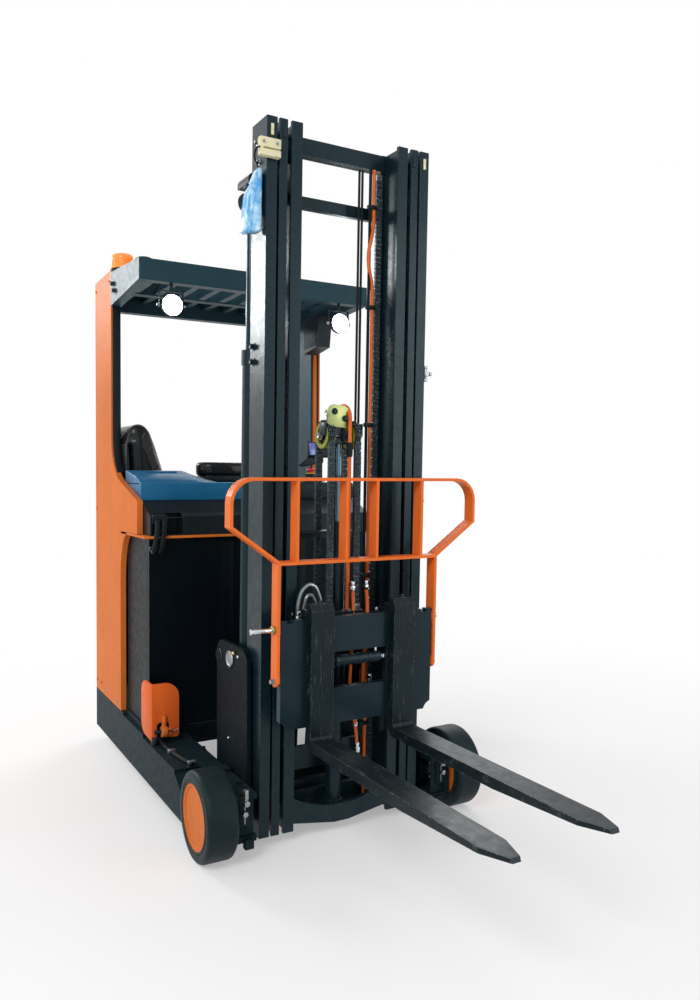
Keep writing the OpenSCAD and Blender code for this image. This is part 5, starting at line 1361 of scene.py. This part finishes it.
@dataclass
class UpperBody(Assembly):
    """The blue cover, the panels' inner strips and screws, the rear cover's fittings."""

    def cover(self) -> None:
        """The blue moulded cover with its raised corner, and the dark console beside it."""
        x0, front, split, y1 = -1.195, -0.902, 0.130, 0.585
        shelf = [(x0, 1.3655), (front, 1.3655), (front - 0.003, 1.449), (front - 0.010, 1.453), (x0, 1.453)]
        shelf = [(u + AXLE_X, v) for u, v in shelf]
        corner = [(x0, 1.440), (front - 0.014, 1.440), (front - 0.030, 1.457), (front - 0.110, 1.484), (x0, 1.512)]
        raised = plate("raised", [(u + AXLE_X, v) for u, v in corner], "y", -y1, -0.290, 0.0)
        only(raised)
        bpy.ops.object.mode_set(mode="EDIT")
        bpy.ops.mesh.select_mode(type="FACE")
        bpy.ops.mesh.select_all(action="DESELECT")
        bpy.ops.object.mode_set(mode="OBJECT")
        for face in raised.data.polygons:
            face.select = face.normal.y > 0.9
        bpy.ops.object.mode_set(mode="EDIT")
        bpy.ops.mesh.extrude_region_move(TRANSFORM_OT_translate={"value": (0.0, 0.100, 0.0)})
        bpy.ops.object.mode_set(mode="OBJECT")
        for point in raised.data.vertices:
            if point.co.y > -0.25:
                point.co.z = min(point.co.z, 1.4545)
        dish = plate("dish", [(x0 + 0.03 + AXLE_X, -0.50), (front - 0.10 + AXLE_X, -0.50), (front - 0.10 + AXLE_X, -0.36),
                              (x0 + 0.03 + AXLE_X, -0.33)], "z", 1.496, 1.60, 0.0)
        cut = raised.modifiers.new("dish", "BOOLEAN")
        cut.operation = "DIFFERENCE"
        cut.object = dish
        only(raised)
        bpy.ops.object.modifier_apply(modifier=cut.name)
        bpy.data.objects.remove(dish)
        top = joined("hood_top", [plate("shelf", shelf, "y", -y1, split - 0.002, 0.004), eased(sealed(raised), 0.005, 3)])
        self.own(top, COVER_BLUE, "blue_cover", crisp=40.0, replaces=("hood_cover",))
        self.own(plate("left_console", shelf, "y", split + 0.001, y1, 0.006), BLACK_PLASTIC, "black_plastic")
        places = [turned(at(front - 0.05, y, 1.4535)) for y in (-0.06, 0.08)]
        self.own(repeated("cover_screws", socket_screw(0.013), places), PLAIN_STEEL, "bare_steel")
        low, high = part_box("hood_strip")
        strip = block("cover_strip", low, (high.x, split, high.z), 0.001)
        self.own(strip, BODY_ORANGE, "orange_paint", replaces=("hood_strip",))
        self.own(block("console_strip", (low.x, split + 0.0005, low.z), high, 0.001), BLACK_PLASTIC, "black_plastic")

    def strips(self) -> None:
        """Black rubber edging inside the pillars, and the panels' screws."""
        pillar = -1.365
        centre, radius = (pillar + 0.244, 1.692), 0.244
        edge = [(pillar, 2.38), (pillar, 1.72)]
        edge += [(centre[0] + radius * math.cos(a), centre[1] + radius * math.sin(a)) for a in
                 [math.radians(d) for d in range(184, 235, 6)]]
        inner = [(pillar + 0.004, 2.38), (pillar + 0.004, 1.72)]
        inner += [(centre[0] + (radius - 0.004) * math.cos(a), centre[1] + (radius - 0.004) * math.sin(a)) for a in
                  [math.radians(d) for d in range(184, 235, 6)]]
        band = [(u + AXLE_X, v) for u, v in edge + inner[::-1]]
        self.own(plate("pillar_edging", band, "y", -0.607, -0.568, 0.001), BLACK_PLASTIC, "black_plastic")
        left = [at(pillar + 0.002, 0.600, z) for z in (2.36, 2.1, 1.8, 1.5, 1.2, 1.11)]
        self.own(tube("pillar_edging_left", left, 0.005, 4, 1), BLACK_PLASTIC, "black_plastic")
        screws = [turned(at(x, s * 0.615, z), (0, s, 0)) for s in (-1, 1) for x, z in
                  ((-1.69, 0.34), (-1.69, 1.30), (-1.69, 2.50), (-1.39, 2.50), (-1.60, 0.34))]
        self.own(repeated("panel_screws", socket_screw(0.012), screws), BODY_ORANGE, "orange_paint")

    def rear(self) -> None:
        """The service door's hinges and lock, the vents' dark backing and the rear screws."""
        x = -1.7195
        backing = [block("backing", at(x + 0.024, -0.225, 0.55), at(x + 0.027, 0.225, 0.82), 0.0)]
        self.own(joined("vent_backing", backing), BLACK_PLASTIC, "black_plastic")
        hinges = []
        for z in (0.42, 1.16):
            hinges += [rod("hinge", at(x + 0.003, 0.300, z), at(x + 0.003, 0.300, z + 0.07), 0.0045, 16, 0.001)]
        lock = [lathe("lock", [(0, 0.001), (0.017, 0.001), (0.017, -0.0018), (0.013, -0.0025), (0, -0.0025)],
                      at(x + 0.001, -0.255, 0.80), (1, 0, 0), 32)]
        self.own(joined("service_door_hinges", hinges + lock), PLAIN_STEEL, "bare_steel")
        screws = [turned(at(x, s * y, z), (-1, 0, 0)) for s in (-1, 1) for y, z in ((0.28, 0.37), (0.28, 1.25), (0.56, 0.33), (0.56, 1.29))]
        self.own(repeated("rear_screws", socket_screw(0.010), [
            Matrix.Translation((0.0035, 0, 0)) @ place for place in screws]), BODY_ORANGE, "orange_paint")

    def hood(self) -> None:
        """The hood's front lip, the plug recess frame and the hood's screws."""
        lip = [block("lip", at(-0.7535, -0.583, 1.286), at(-0.7515, 0.583, 1.292), 0.0008)]
        lip += [block("frame", at(-0.754, y, 1.212), at(-0.7515, y + 0.005, 1.312 - 0.018), 0.0008) for y in (-0.582, -0.428)]
        self.own(joined("hood_lip", lip), BLACK_PLASTIC, "black_plastic")
        screws = [turned(at(-0.752, y, 1.235), (1, 0, 0)) for y in (-0.30, 0.0, 0.30, 0.54)]
        self.own(repeated("hood_screws", socket_screw(0.013), [Matrix.Translation((-0.003, 0, 0)) @ p for p in screws]),
                 BLACK_PLASTIC, "black_plastic")

    def build(self) -> None:
        """Models everything on the upper body."""
        self.cover()
        self.strips()
        self.rear()
        self.hood()


@dataclass
class Roof(Assembly):
    """Work lights, beacon, pillar bolts and the lid of the box on the far pillar."""

    front_x: float = -0.822
    lamp_x: float = -0.846
    lamp_y: float = 0.455
    lamp_z: float = 2.295

    def work_light(self, side: Side) -> None:
        """One round lamp: finned shell, bezel, ribbed lens and bracket."""
        s, tag = side.value, side.name.lower()
        centre = at(self.lamp_x, s * self.lamp_y, self.lamp_z)
        shell = lathe("shell", [(0, -0.034), (0.018, -0.034), (0.024, -0.026), (0.041, -0.006), (0.0505, 0.002), (0.0525, 0.022),
                                (0.0495, 0.0235), (0.0480, 0.016), (0.0, 0.012)], centre, (1, 0, 0), 40)
        fins = [lathe("fin", [(0.020, d), (0.030 + 0.9 * (d + 0.03), d), (0.030 + 0.9 * (d + 0.03), d + 0.002), (0.020, d + 0.002)],
                      centre, (1, 0, 0), 32) for d in (-0.028, -0.022, -0.016, -0.010)]
        arms = [block("arm", centre + Vector((-0.009, d * 0.0565 - 0.002, -0.012)), centre + Vector((0.009, d * 0.0565 + 0.002, 0.070)), 0.001)
                for d in (-1, 1)]
        arms.append(block("arm", centre + Vector((-0.009, -0.058, 0.065)), centre + Vector((0.009, 0.058, 0.069)), 0.001))
        arms.append(rod("stem", centre + UP * 0.068, at(self.lamp_x, s * self.lamp_y, 2.4002), 0.008, 20, 0.001))
        self.own(joined(f"work_light_{tag}", [shell] + fins + arms), GREY_PLASTIC, "black_plastic", replaces=("work_lights",))
        lens = lathe(f"work_light_lens_{tag}", [(0, 0.0135), (0.0475, 0.0135), (0.0485, 0.020), (0.036, 0.0235), (0.014, 0.0255), (0, 0.026)],
                     centre, (1, 0, 0), 40)
        self.own(lens, LAMP_GLOW, "lamp_lens")
        knobs = repeated("lamp_knobs", bolt(0.014), [turned(centre + Vector((0, d * 0.0585, 0)), (0, d, 0)) for d in (-1, 1)])
        self.own(knobs, PLAIN_STEEL, "bare_steel").name = f"lamp_knobs_{tag}"

    def beacon(self) -> None:
        """The amber beacon: black foot, ribbed lens and the lamp seen inside."""
        low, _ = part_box("beacon")
        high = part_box("beacon")[1]
        centre = Vector(((low.x + high.x) / 2, (low.y + high.y) / 2, low.z))
        foot = lathe("beacon_foot", [(0, 0), (0.044, 0), (0.044, 0.0105), (0.0675, 0.0105), (0.0675, 0.026), (0.063, 0.030),
                                     (0, 0.030)], centre, UP, 64)
        self.own(foot, BLACK_PLASTIC, "black_plastic", replaces=("beacon",))
        wall = [(0.0625, 0.0302), (0.0645, 0.034)]
        for i in range(7):
            z = 0.036 + i * 0.0075
            wall += [(0.0645 - 0.0004 * i, z), (0.0628 - 0.0004 * i, z + 0.0015), (0.0628 - 0.0004 * i, z + 0.004)]
        wall += [(0.0605, 0.090), (0.057, 0.099), (0.050, 0.106), (0.038, 0.1105), (0.020, 0.112), (0, 0.112)]
        inner = [(0, 0.108), (0.036, 0.1065), (0.052, 0.096), (0.058, 0.085), (0.0585, 0.0302)]
        lens = lathe("beacon_lens", wall + inner, centre, UP, 72)
        self.own(lens, AMBER_LENS, "amber_lens", crisp=50.0)
        lamp = lathe("beacon_lamp", [(0, 0.030), (0.030, 0.030), (0.030, 0.048), (0.022, 0.052), (0.022, 0.078), (0.012, 0.086), (0, 0.086)],
                     centre, UP, 32)
        self.own(lamp, CREAM_PLASTIC, "cream_plastic")

    def fixings(self) -> None:
        """Bolts on the pillars, and the lid and key of the box on the far pillar."""
        places = [turned(at(x, s * 0.615, z), (0, s, 0)) for s in (-1, 1) for x, z in ((-1.30, 2.47), (-1.27, 2.43))]
        self.own(repeated("roof_bolts", bolt(0.022), places), GUARD_DARK, "guard_paint")
        low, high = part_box("guard_box")
        lid = [block("lid", (low.x - 0.001, low.y - 0.0025, low.z + 0.030), (low.x + 0.156, low.y + 0.003, low.z + 0.165), 0.002),
               rod("key", (low.x + 0.02, low.y - 0.006, low.z + 0.15), (low.x + 0.02, low.y + 0.002, low.z + 0.15), 0.006, 16, 0.001)]
        self.own(joined("guard_box_lid", lid), GREY_PLASTIC, "black_plastic")

    def build(self) -> None:
        """Models everything on the roof."""
        for side in Side:
            self.work_light(side)
        self.beacon()
        self.fixings()


@dataclass
class Seat(Assembly):
    """Seat cushion, back and shell. The padded pieces are blown up as cloth."""

    voxel: float = 0.006
    pressure: float = 4.0

    def blown(self, name: str, shape: bpy.types.Object, cap: float) -> bpy.types.Object:
        """Blows a closed form up as cloth, as stuffed vinyl sits, and caps how far it swells.

        Args:
            name: The piece's name.
            shape: The closed form.
            cap: The furthest that a point may go, in metres.

        Returns:
            The padded mesh.
        """
        modified(shape, "REMESH", mode="VOXEL", voxel_size=self.voxel * 1.0)
        rest = [corner.co.copy() for corner in shape.data.vertices]
        cloth = shape.modifiers.new("cloth", "CLOTH")
        cloth.settings.use_pressure = True
        cloth.settings.uniform_pressure_force = self.pressure
        cloth.settings.effector_weights.gravity = 0.0
        cloth.settings.tension_stiffness = 40.0
        cloth.settings.compression_stiffness = 25.0
        cloth.settings.quality = 4
        scene = bpy.context.scene
        for number in range(1, 13):
            scene.frame_set(number)
        only(shape)
        bpy.ops.object.modifier_apply(modifier=cloth.name)
        scene.frame_set(1)
        for corner, start in zip(shape.data.vertices, rest):
            step = corner.co - start
            if step.length > cap:
                corner.co = start + step * (cap / step.length)
        modified(shape, "SMOOTH", factor=0.5, iterations=4)
        shape.name = name
        return shape

    def cushion(self) -> bpy.types.Object:
        """The seat cushion before it is blown up: a crowned box with side rolls."""
        parts = [block("cushion", at(-1.655, -0.505, 0.872), at(-1.225, -0.070, 0.985), 0.030, 4)]
        parts += [rod("roll", at(-1.63, y, 0.975), at(-1.26, y, 0.975), 0.024, 24, 0.008) for y in (-0.475, -0.100)]
        parts.append(rod("nose", at(-1.245, -0.47, 0.955), at(-1.245, -0.105, 0.955), 0.028, 24, 0.008))
        return joined("cushion", parts)

    def back(self) -> bpy.types.Object:
        """The seat back before it is blown up, rounded over its top."""
        outline = [(-0.492, 1.030), (-0.372, 1.030), (-0.352, 1.15), (-0.358, 1.50), (-0.428, 1.700)]
        outline += [(-0.490 + 0.060 * math.cos(a), 1.697 + 0.060 * math.sin(a)) for a in
                    [math.radians(d) for d in range(15, 166, 25)]]
        outline += [(-0.556, 1.66), (-0.548, 1.40), (-0.556, 1.13)]
        return plate("back", outline, "x", AXLE_X - 1.625, AXLE_X - 1.265, 0.030)

    def build(self) -> None:
        """Models the padded pieces and the shell that carries them."""
        for name, shape, node in (("seat_pad", self.cushion(), "seat_cushion"), ("back_pad", self.back(), "seat_back")):
            pad = self.own(self.blown(name, shape, 0.012), SEAT_VINYL, "seat_vinyl", crisp=80.0, replaces=(node,))
        outline = [(-0.5555, 0.99), (-0.5395, 1.13), (-0.5455, 1.50), (-0.5555, 1.65), (-0.565, 1.65), (-0.561, 1.13), (-0.577, 0.99)]
        shell = plate("shell", [(max(y, -0.5745), z) for y, z in outline], "x", AXLE_X - 1.64, AXLE_X - 1.25, 0.003)
        pan = block("pan", at(-1.65, -0.515, 0.8605), at(-1.22, -0.062, 0.876), 0.004)
        self.own(joined("seat_shell", [shell, pan]), BLACK_PLASTIC, "black_plastic")


@dataclass
class Controls(Assembly):
    """Arm rest, levers, display, stop switch, steering wheel and pedals."""

    pillar: float = -1.365
    deck: float = 1.450

    def console(self) -> None:
        """The arm rest's shell and its padded top with a round end."""
        x0, x1 = -1.290, -1.120
        shell = block("console", at(x0 + 0.012, -0.180, self.deck), at(x1 - 0.008, 0.130, 1.490), 0.012, 3)
        self.own(shell, BLACK_PLASTIC, "black_plastic", replaces=("armrest",))
        rest = [(x1 - 0.010, 0.118), (x0 + 0.010, 0.118)]
        rest += [(-1.205 + 0.082 * math.cos(a), -0.128 + 0.077 * math.sin(a)) for a in [math.radians(d) for d in range(180, 361, 20)]]
        pad = eased(plate("arm_pad", [(u + AXLE_X, v) for u, v in rest], "z", 1.482, 1.558, 0.0), 0.022, 4)
        self.own(pad, SEAT_VINYL, "seat_vinyl", crisp=60.0)

    def levers(self) -> None:
        """Four finger levers with their boots, and the display on its stalk."""
        x = self.pillar + 0.175
        stems, boots = [], []
        for i in range(4):
            y = 0.160 + 0.045 * i
            stems.append(lathe("lever", [(0, 0), (0.006, 0), (0.006, 0.052), (0.011, 0.058), (0.015, 0.070), (0.0145, 0.078), (0.009, 0.085), (0, 0.086)],
                               at(x, y, self.deck), UP, 24))
            boots.append(lathe("boot", [(0.006, 0.0), (0.019, 0.0), (0.019, 0.004), (0.014, 0.008), (0.0155, 0.012), (0.010, 0.017),
                                        (0.0115, 0.021), (0.006, 0.026)], at(x, y, self.deck), UP, 24))
        self.own(joined("finger_levers", stems), BLACK_PLASTIC, "black_plastic", replaces=("controls",))
        self.own(joined("lever_boots", boots), TYRE_BLACK, "rubber")
        x, y = self.pillar + 0.365, 0.430
        stalk = [rod("stalk", at(x, y, self.deck), at(x, y, self.deck + 0.145), 0.012, 20, 0.002),
                 lathe("foot", [(0.012, 0), (0.030, 0), (0.030, 0.004), (0.016, 0.012), (0.012, 0.012)], at(x, y, self.deck), UP, 32)]
        stalk.append(plate("arm", [(0.296, 1.545), (0.320, 1.538), (0.445, 1.560), (0.445, 1.590), (0.350, 1.588)], "x",
                           AXLE_X + x - 0.012, AXLE_X + x + 0.012, 0.004))
        self.own(joined("display_stalk", stalk), BLACK_PLASTIC, "black_plastic")
        case = block("display", (-0.020, -0.075, 0.0), (0.014, 0.075, 0.085), 0.008, 3)
        screen = block("screen", (-0.0215, -0.062, 0.014), (-0.0195, 0.062, 0.072), 0.001)
        # Painted glow: a patch on the display's back is given the screen's glowing material, though no screen faces
        # this way.
        back = block("display_back_painted_glow", (0.0135, -0.070, 0.010), (0.0160, -0.034, 0.076), 0.001)
        keys = [block("key", (-0.0225, -0.055 + 0.022 * i, 0.004), (-0.0200, -0.040 + 0.022 * i, 0.010), 0.0008) for i in range(6)]
        tilt = Matrix.Translation(at(x, y, self.deck + 0.140)) @ Matrix.Rotation(math.radians(-12), 4, "Y")
        for piece, finish, slot in ((case, BLACK_PLASTIC, "black_plastic"), (screen, SCREEN_GLASS, "lamp_lens"),
                                    (back, SCREEN_GLASS, "lamp_lens"),
                                    (joined("display_keys", keys), GREY_PLASTIC, "black_plastic")):
            piece.data.transform(tilt)
            self.own(piece, finish, slot)

    def stop_switch(self) -> None:
        """The black base, its yellow ring and the red mushroom button."""
        centre = at(self.pillar + 0.380, 0.362, self.deck)
        base = lathe("switch_base", [(0, 0), (0.034, 0), (0.032, 0.044), (0.024, 0.050), (0, 0.050)], centre, UP, 40)
        self.own(base, BLACK_PLASTIC, "black_plastic", replaces=("emergency_switch",))
        ring = lathe("switch_ring", [(0.013, 0.050), (0.023, 0.050), (0.022, 0.054), (0.013, 0.054)], centre, UP, 40)
        self.own(ring, YELLOW_PLASTIC, "cream_plastic")
        button = lathe("stop_button", [(0, 0.054), (0.012, 0.054), (0.012, 0.062), (0.021, 0.063), (0.0235, 0.069), (0.021, 0.078),
                                       (0.011, 0.082), (0, 0.082)], centre, UP, 40)
        self.own(button, RED_PLASTIC, "red_plastic")

    def steering(self) -> None:
        """The steering wheel: rim, three spokes, spinner knob, column and cowl."""
        centre = at(-1.530, 0.300, 1.130)
        bpy.ops.object.select_all(action="DESELECT")
        bpy.ops.mesh.primitive_torus_add(location=centre, major_radius=0.125, minor_radius=0.0138, major_segments=64, minor_segments=14)
        rim = settled("rim")
        spokes = [plate("spoke", [(0.020, -0.013), (0.116, -0.009), (0.122, 0.0), (0.116, 0.009), (0.020, 0.013)], "z", -0.006, 0.006, 0.003)
                  for _ in range(3)]
        for i, spoke in enumerate(spokes):
            spoke.data.transform(Matrix.Translation(centre) @ Matrix.Rotation(math.radians(120 * i), 4, "Z"))
        hub = lathe("hub", [(0, -0.060), (0.032, -0.060), (0.034, -0.052), (0.034, 0.008), (0.030, 0.014), (0, 0.015)], centre, UP, 40)
        knob = lathe("knob", [(0, 0.010), (0.007, 0.010), (0.008, 0.020), (0.017, 0.026), (0.019, 0.036), (0.014, 0.046), (0, 0.049)],
                     centre + Vector((0.088, 0.088, 0)), UP, 28)
        column = lathe("column", [(0, -0.230), (0.024, -0.230), (0.024, -0.12), (0.029, -0.11), (0.029, -0.055), (0, -0.055)], centre, UP, 32)
        self.own(joined("steering", [rim] + spokes + [hub, knob, column]), BLACK_PLASTIC, "black_plastic", crisp=40.0,
                 replaces=("steering_wheel",))
        cowl = block("steering_cowl", at(-1.691, 0.180, 0.760), at(-1.480, 0.420, 0.910), 0.014, 3)
        self.own(cowl, BLACK_PLASTIC, "black_plastic")

    def floor(self) -> None:
        """Pedals with ribbed rubber pads."""
        pads, ribs = [], []
        for i in range(3):
            x = -1.620 + 0.150 * i
            pads.append(block("pedal", at(x, 0.330, 0.2885), at(x + 0.110, 0.480, 0.300), 0.003))
            rest = block("pad", (0.008, 0.0, 0.010), (0.102, 0.118, 0.020), 0.003)
            rest.data.transform(Matrix.Translation(at(x, 0.350, 0.288)) @ Matrix.Rotation(math.radians(12), 4, "X"))
            pads.append(rest)
            for j in range(6):
                rib = block("rib", (0.012 + 0.015 * j, 0.006, 0.0195), (0.020 + 0.015 * j, 0.112, 0.0225), 0.001)
                rib.data.transform(Matrix.Translation(at(x, 0.350, 0.288)) @ Matrix.Rotation(math.radians(12), 4, "X"))
                ribs.append(rib)
        self.own(joined("pedals", pads), PLAIN_STEEL, "bare_steel")
        self.own(joined("pedal_ribs", ribs), TYRE_BLACK, "rubber")

    def build(self) -> None:
        """Models everything that the operator handles."""
        self.console()
        self.levers()
        self.stop_switch()
        self.steering()
        self.floor()


@dataclass
class Studio:
    """Floor, lamps, world and the camera of the photograph's view."""

    eye: Vector = field(default_factory=lambda: at(3.0027, -1.6601, 1.4907))
    heading: float = math.radians(180 - 29.66)
    pitch: float = math.radians(-1.70)
    roll: float = math.radians(0.32)
    focal_px: float = 821.7
    long_side_px: float = 1000.0
    sensor: float = 36.0

    def camera(self) -> None:
        """Stands the camera where the photograph was taken."""
        data = bpy.data.cameras.new("camera")
        data.sensor_width = self.sensor
        data.lens = self.focal_px / self.long_side_px * self.sensor
        data.clip_end = 60.0
        camera = bpy.data.objects.new("camera", data)
        bpy.context.scene.collection.objects.link(camera)
        ahead = Vector((math.cos(self.pitch) * math.cos(self.heading),
                        math.cos(self.pitch) * math.sin(self.heading), math.sin(self.pitch)))
        turn = ahead.to_track_quat("-Z", "Y").to_matrix() @ Matrix.Rotation(self.roll, 3, "Z")
        camera.matrix_world = Matrix.Translation(self.eye) @ turn.to_4x4()
        bpy.context.scene.camera = camera

    def softbox(self, name: str, place: Point, aim: Point, size: float, watts: float) -> None:
        """Hangs one square soft lamp.

        Args:
            name: The lamp's name.
            place: Where it hangs.
            aim: The point that it looks at.
            size: The length of its side.
            watts: Its power.
        """
        data = bpy.data.lights.new(name, "AREA")
        data.size = size
        data.energy = watts
        lamp = bpy.data.objects.new(name, data)
        bpy.context.scene.collection.objects.link(lamp)
        lamp.location = place
        lamp.rotation_mode = "QUATERNION"
        lamp.rotation_quaternion = (Vector(aim) - Vector(place)).to_track_quat("-Z", "Y")

    def world(self) -> None:
        """A white surround for the eye and for reflections, and a dimmer one that lights."""
        world = bpy.data.worlds.new("world")
        bpy.context.scene.world = world
        world.use_nodes = True
        tree = world.node_tree
        seen = tree.nodes.new("ShaderNodeLightPath")
        total = tree.nodes.new("ShaderNodeMath")
        total.operation = "MAXIMUM"
        tree.links.new(seen.outputs["Is Camera Ray"], total.inputs[0])
        tree.links.new(seen.outputs["Is Transmission Ray"], total.inputs[1])
        shine = tree.nodes.new("ShaderNodeMath")
        shine.operation = "MAXIMUM"
        tree.links.new(total.outputs[0], shine.inputs[0])
        tree.links.new(seen.outputs["Is Glossy Ray"], shine.inputs[1])
        strength = tree.nodes.new("ShaderNodeMapRange")
        strength.inputs["To Min"].default_value = 0.38
        strength.inputs["To Max"].default_value = 1.0
        tree.links.new(shine.outputs[0], strength.inputs["Value"])
        tree.nodes["Background"].inputs["Color"].default_value = (1.0, 1.0, 1.0, 1.0)
        tree.links.new(strength.outputs["Result"], tree.nodes["Background"].inputs["Strength"])

    def floor(self) -> None:
        """Lays a pale floor that keeps the truck's shadow."""
        bpy.ops.object.select_all(action="DESELECT")
        bpy.ops.mesh.primitive_circle_add(vertices=96, radius=26.0, fill_type="NGON")
        plane = bpy.context.object
        plane.name = "floor"
        recipe = Recipe("floor")
        seen = recipe.node("LightPath")
        pale = recipe.mix(recipe.ramp(recipe.noise(0.7, 3.0), 0.3, 0.7), linear("#FFFFFF"), linear("#FBFBFB"))
        recipe.done(Base_Color=pale, Roughness=0.85)
        glow = recipe.node("Emission")
        glow.inputs["Color"].default_value = (1.0, 1.0, 1.0, 1.0)
        blend = recipe.node("MixShader")
        away = recipe.node("VectorMath", operation="LENGTH")
        recipe.feed(away.inputs[0], recipe.place)
        paling = recipe.ramp(away.outputs["Value"], 0.9, 4.2, 0.35, 1.0)
        share = recipe.math("MULTIPLY", recipe.math("MAXIMUM", seen.outputs["Is Camera Ray"],
                                                    seen.outputs["Is Glossy Ray"]), paling)
        recipe.feed(blend.inputs[0], share)
        recipe.feed(blend.inputs[1], recipe.shader.outputs["BSDF"])
        recipe.feed(blend.inputs[2], glow.outputs["Emission"])
        recipe.feed(recipe.tree.nodes["Material Output"].inputs["Surface"], blend.outputs[0])
        plane.data.materials.append(recipe.material)

    def build(self) -> None:
        """Sets up everything that isn't the truck."""
        bpy.context.scene.view_settings.view_transform = "Standard"
        self.camera()
        self.world()
        self.floor()
        middle = (AXLE_X - 0.3, 0.0, 1.1)
        self.softbox("key", (3.4, -4.2, 4.6), middle, 2.6, 190.0)
        self.softbox("side", (-2.2, -4.6, 2.6), middle, 2.2, 28.0)
        self.softbox("fill", (4.6, 3.6, 2.4), middle, 3.0, 75.0)
        self.softbox("back", (-4.4, 3.2, 4.4), middle, 2.6, 105.0)
        self.softbox("gleam", tuple(at(-6.73, -3.20, 3.89)), tuple(at(-0.04, -0.374, 2.24)), 1.5, 150.0)
        log.info("studio set")


def dress_nodes() -> None:
    """Gives each CAD node its finish."""
    for name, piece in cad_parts.items():
        piece.data.materials.clear()
        piece.data.materials.append(NODE_FINISH[name].material())
        log.info("dressed %s in %s", name, NODE_FINISH[name].name)


def main() -> None:
    """Builds the studio and dresses the truck."""
    logging.basicConfig(level=logging.INFO, format="%(message)s")
    Studio().build()
    dress_nodes()
    for assembly in (Wheels(), LowerBody(), UpperBody(), Roof(), Seat(), Controls(), Reach(), MastDetails(), Chains(),
                     LiftHead(), LiftHoses(), Carriage(), LoadGuard()):
        assembly.build()


if __name__ == "__main__":
    main()
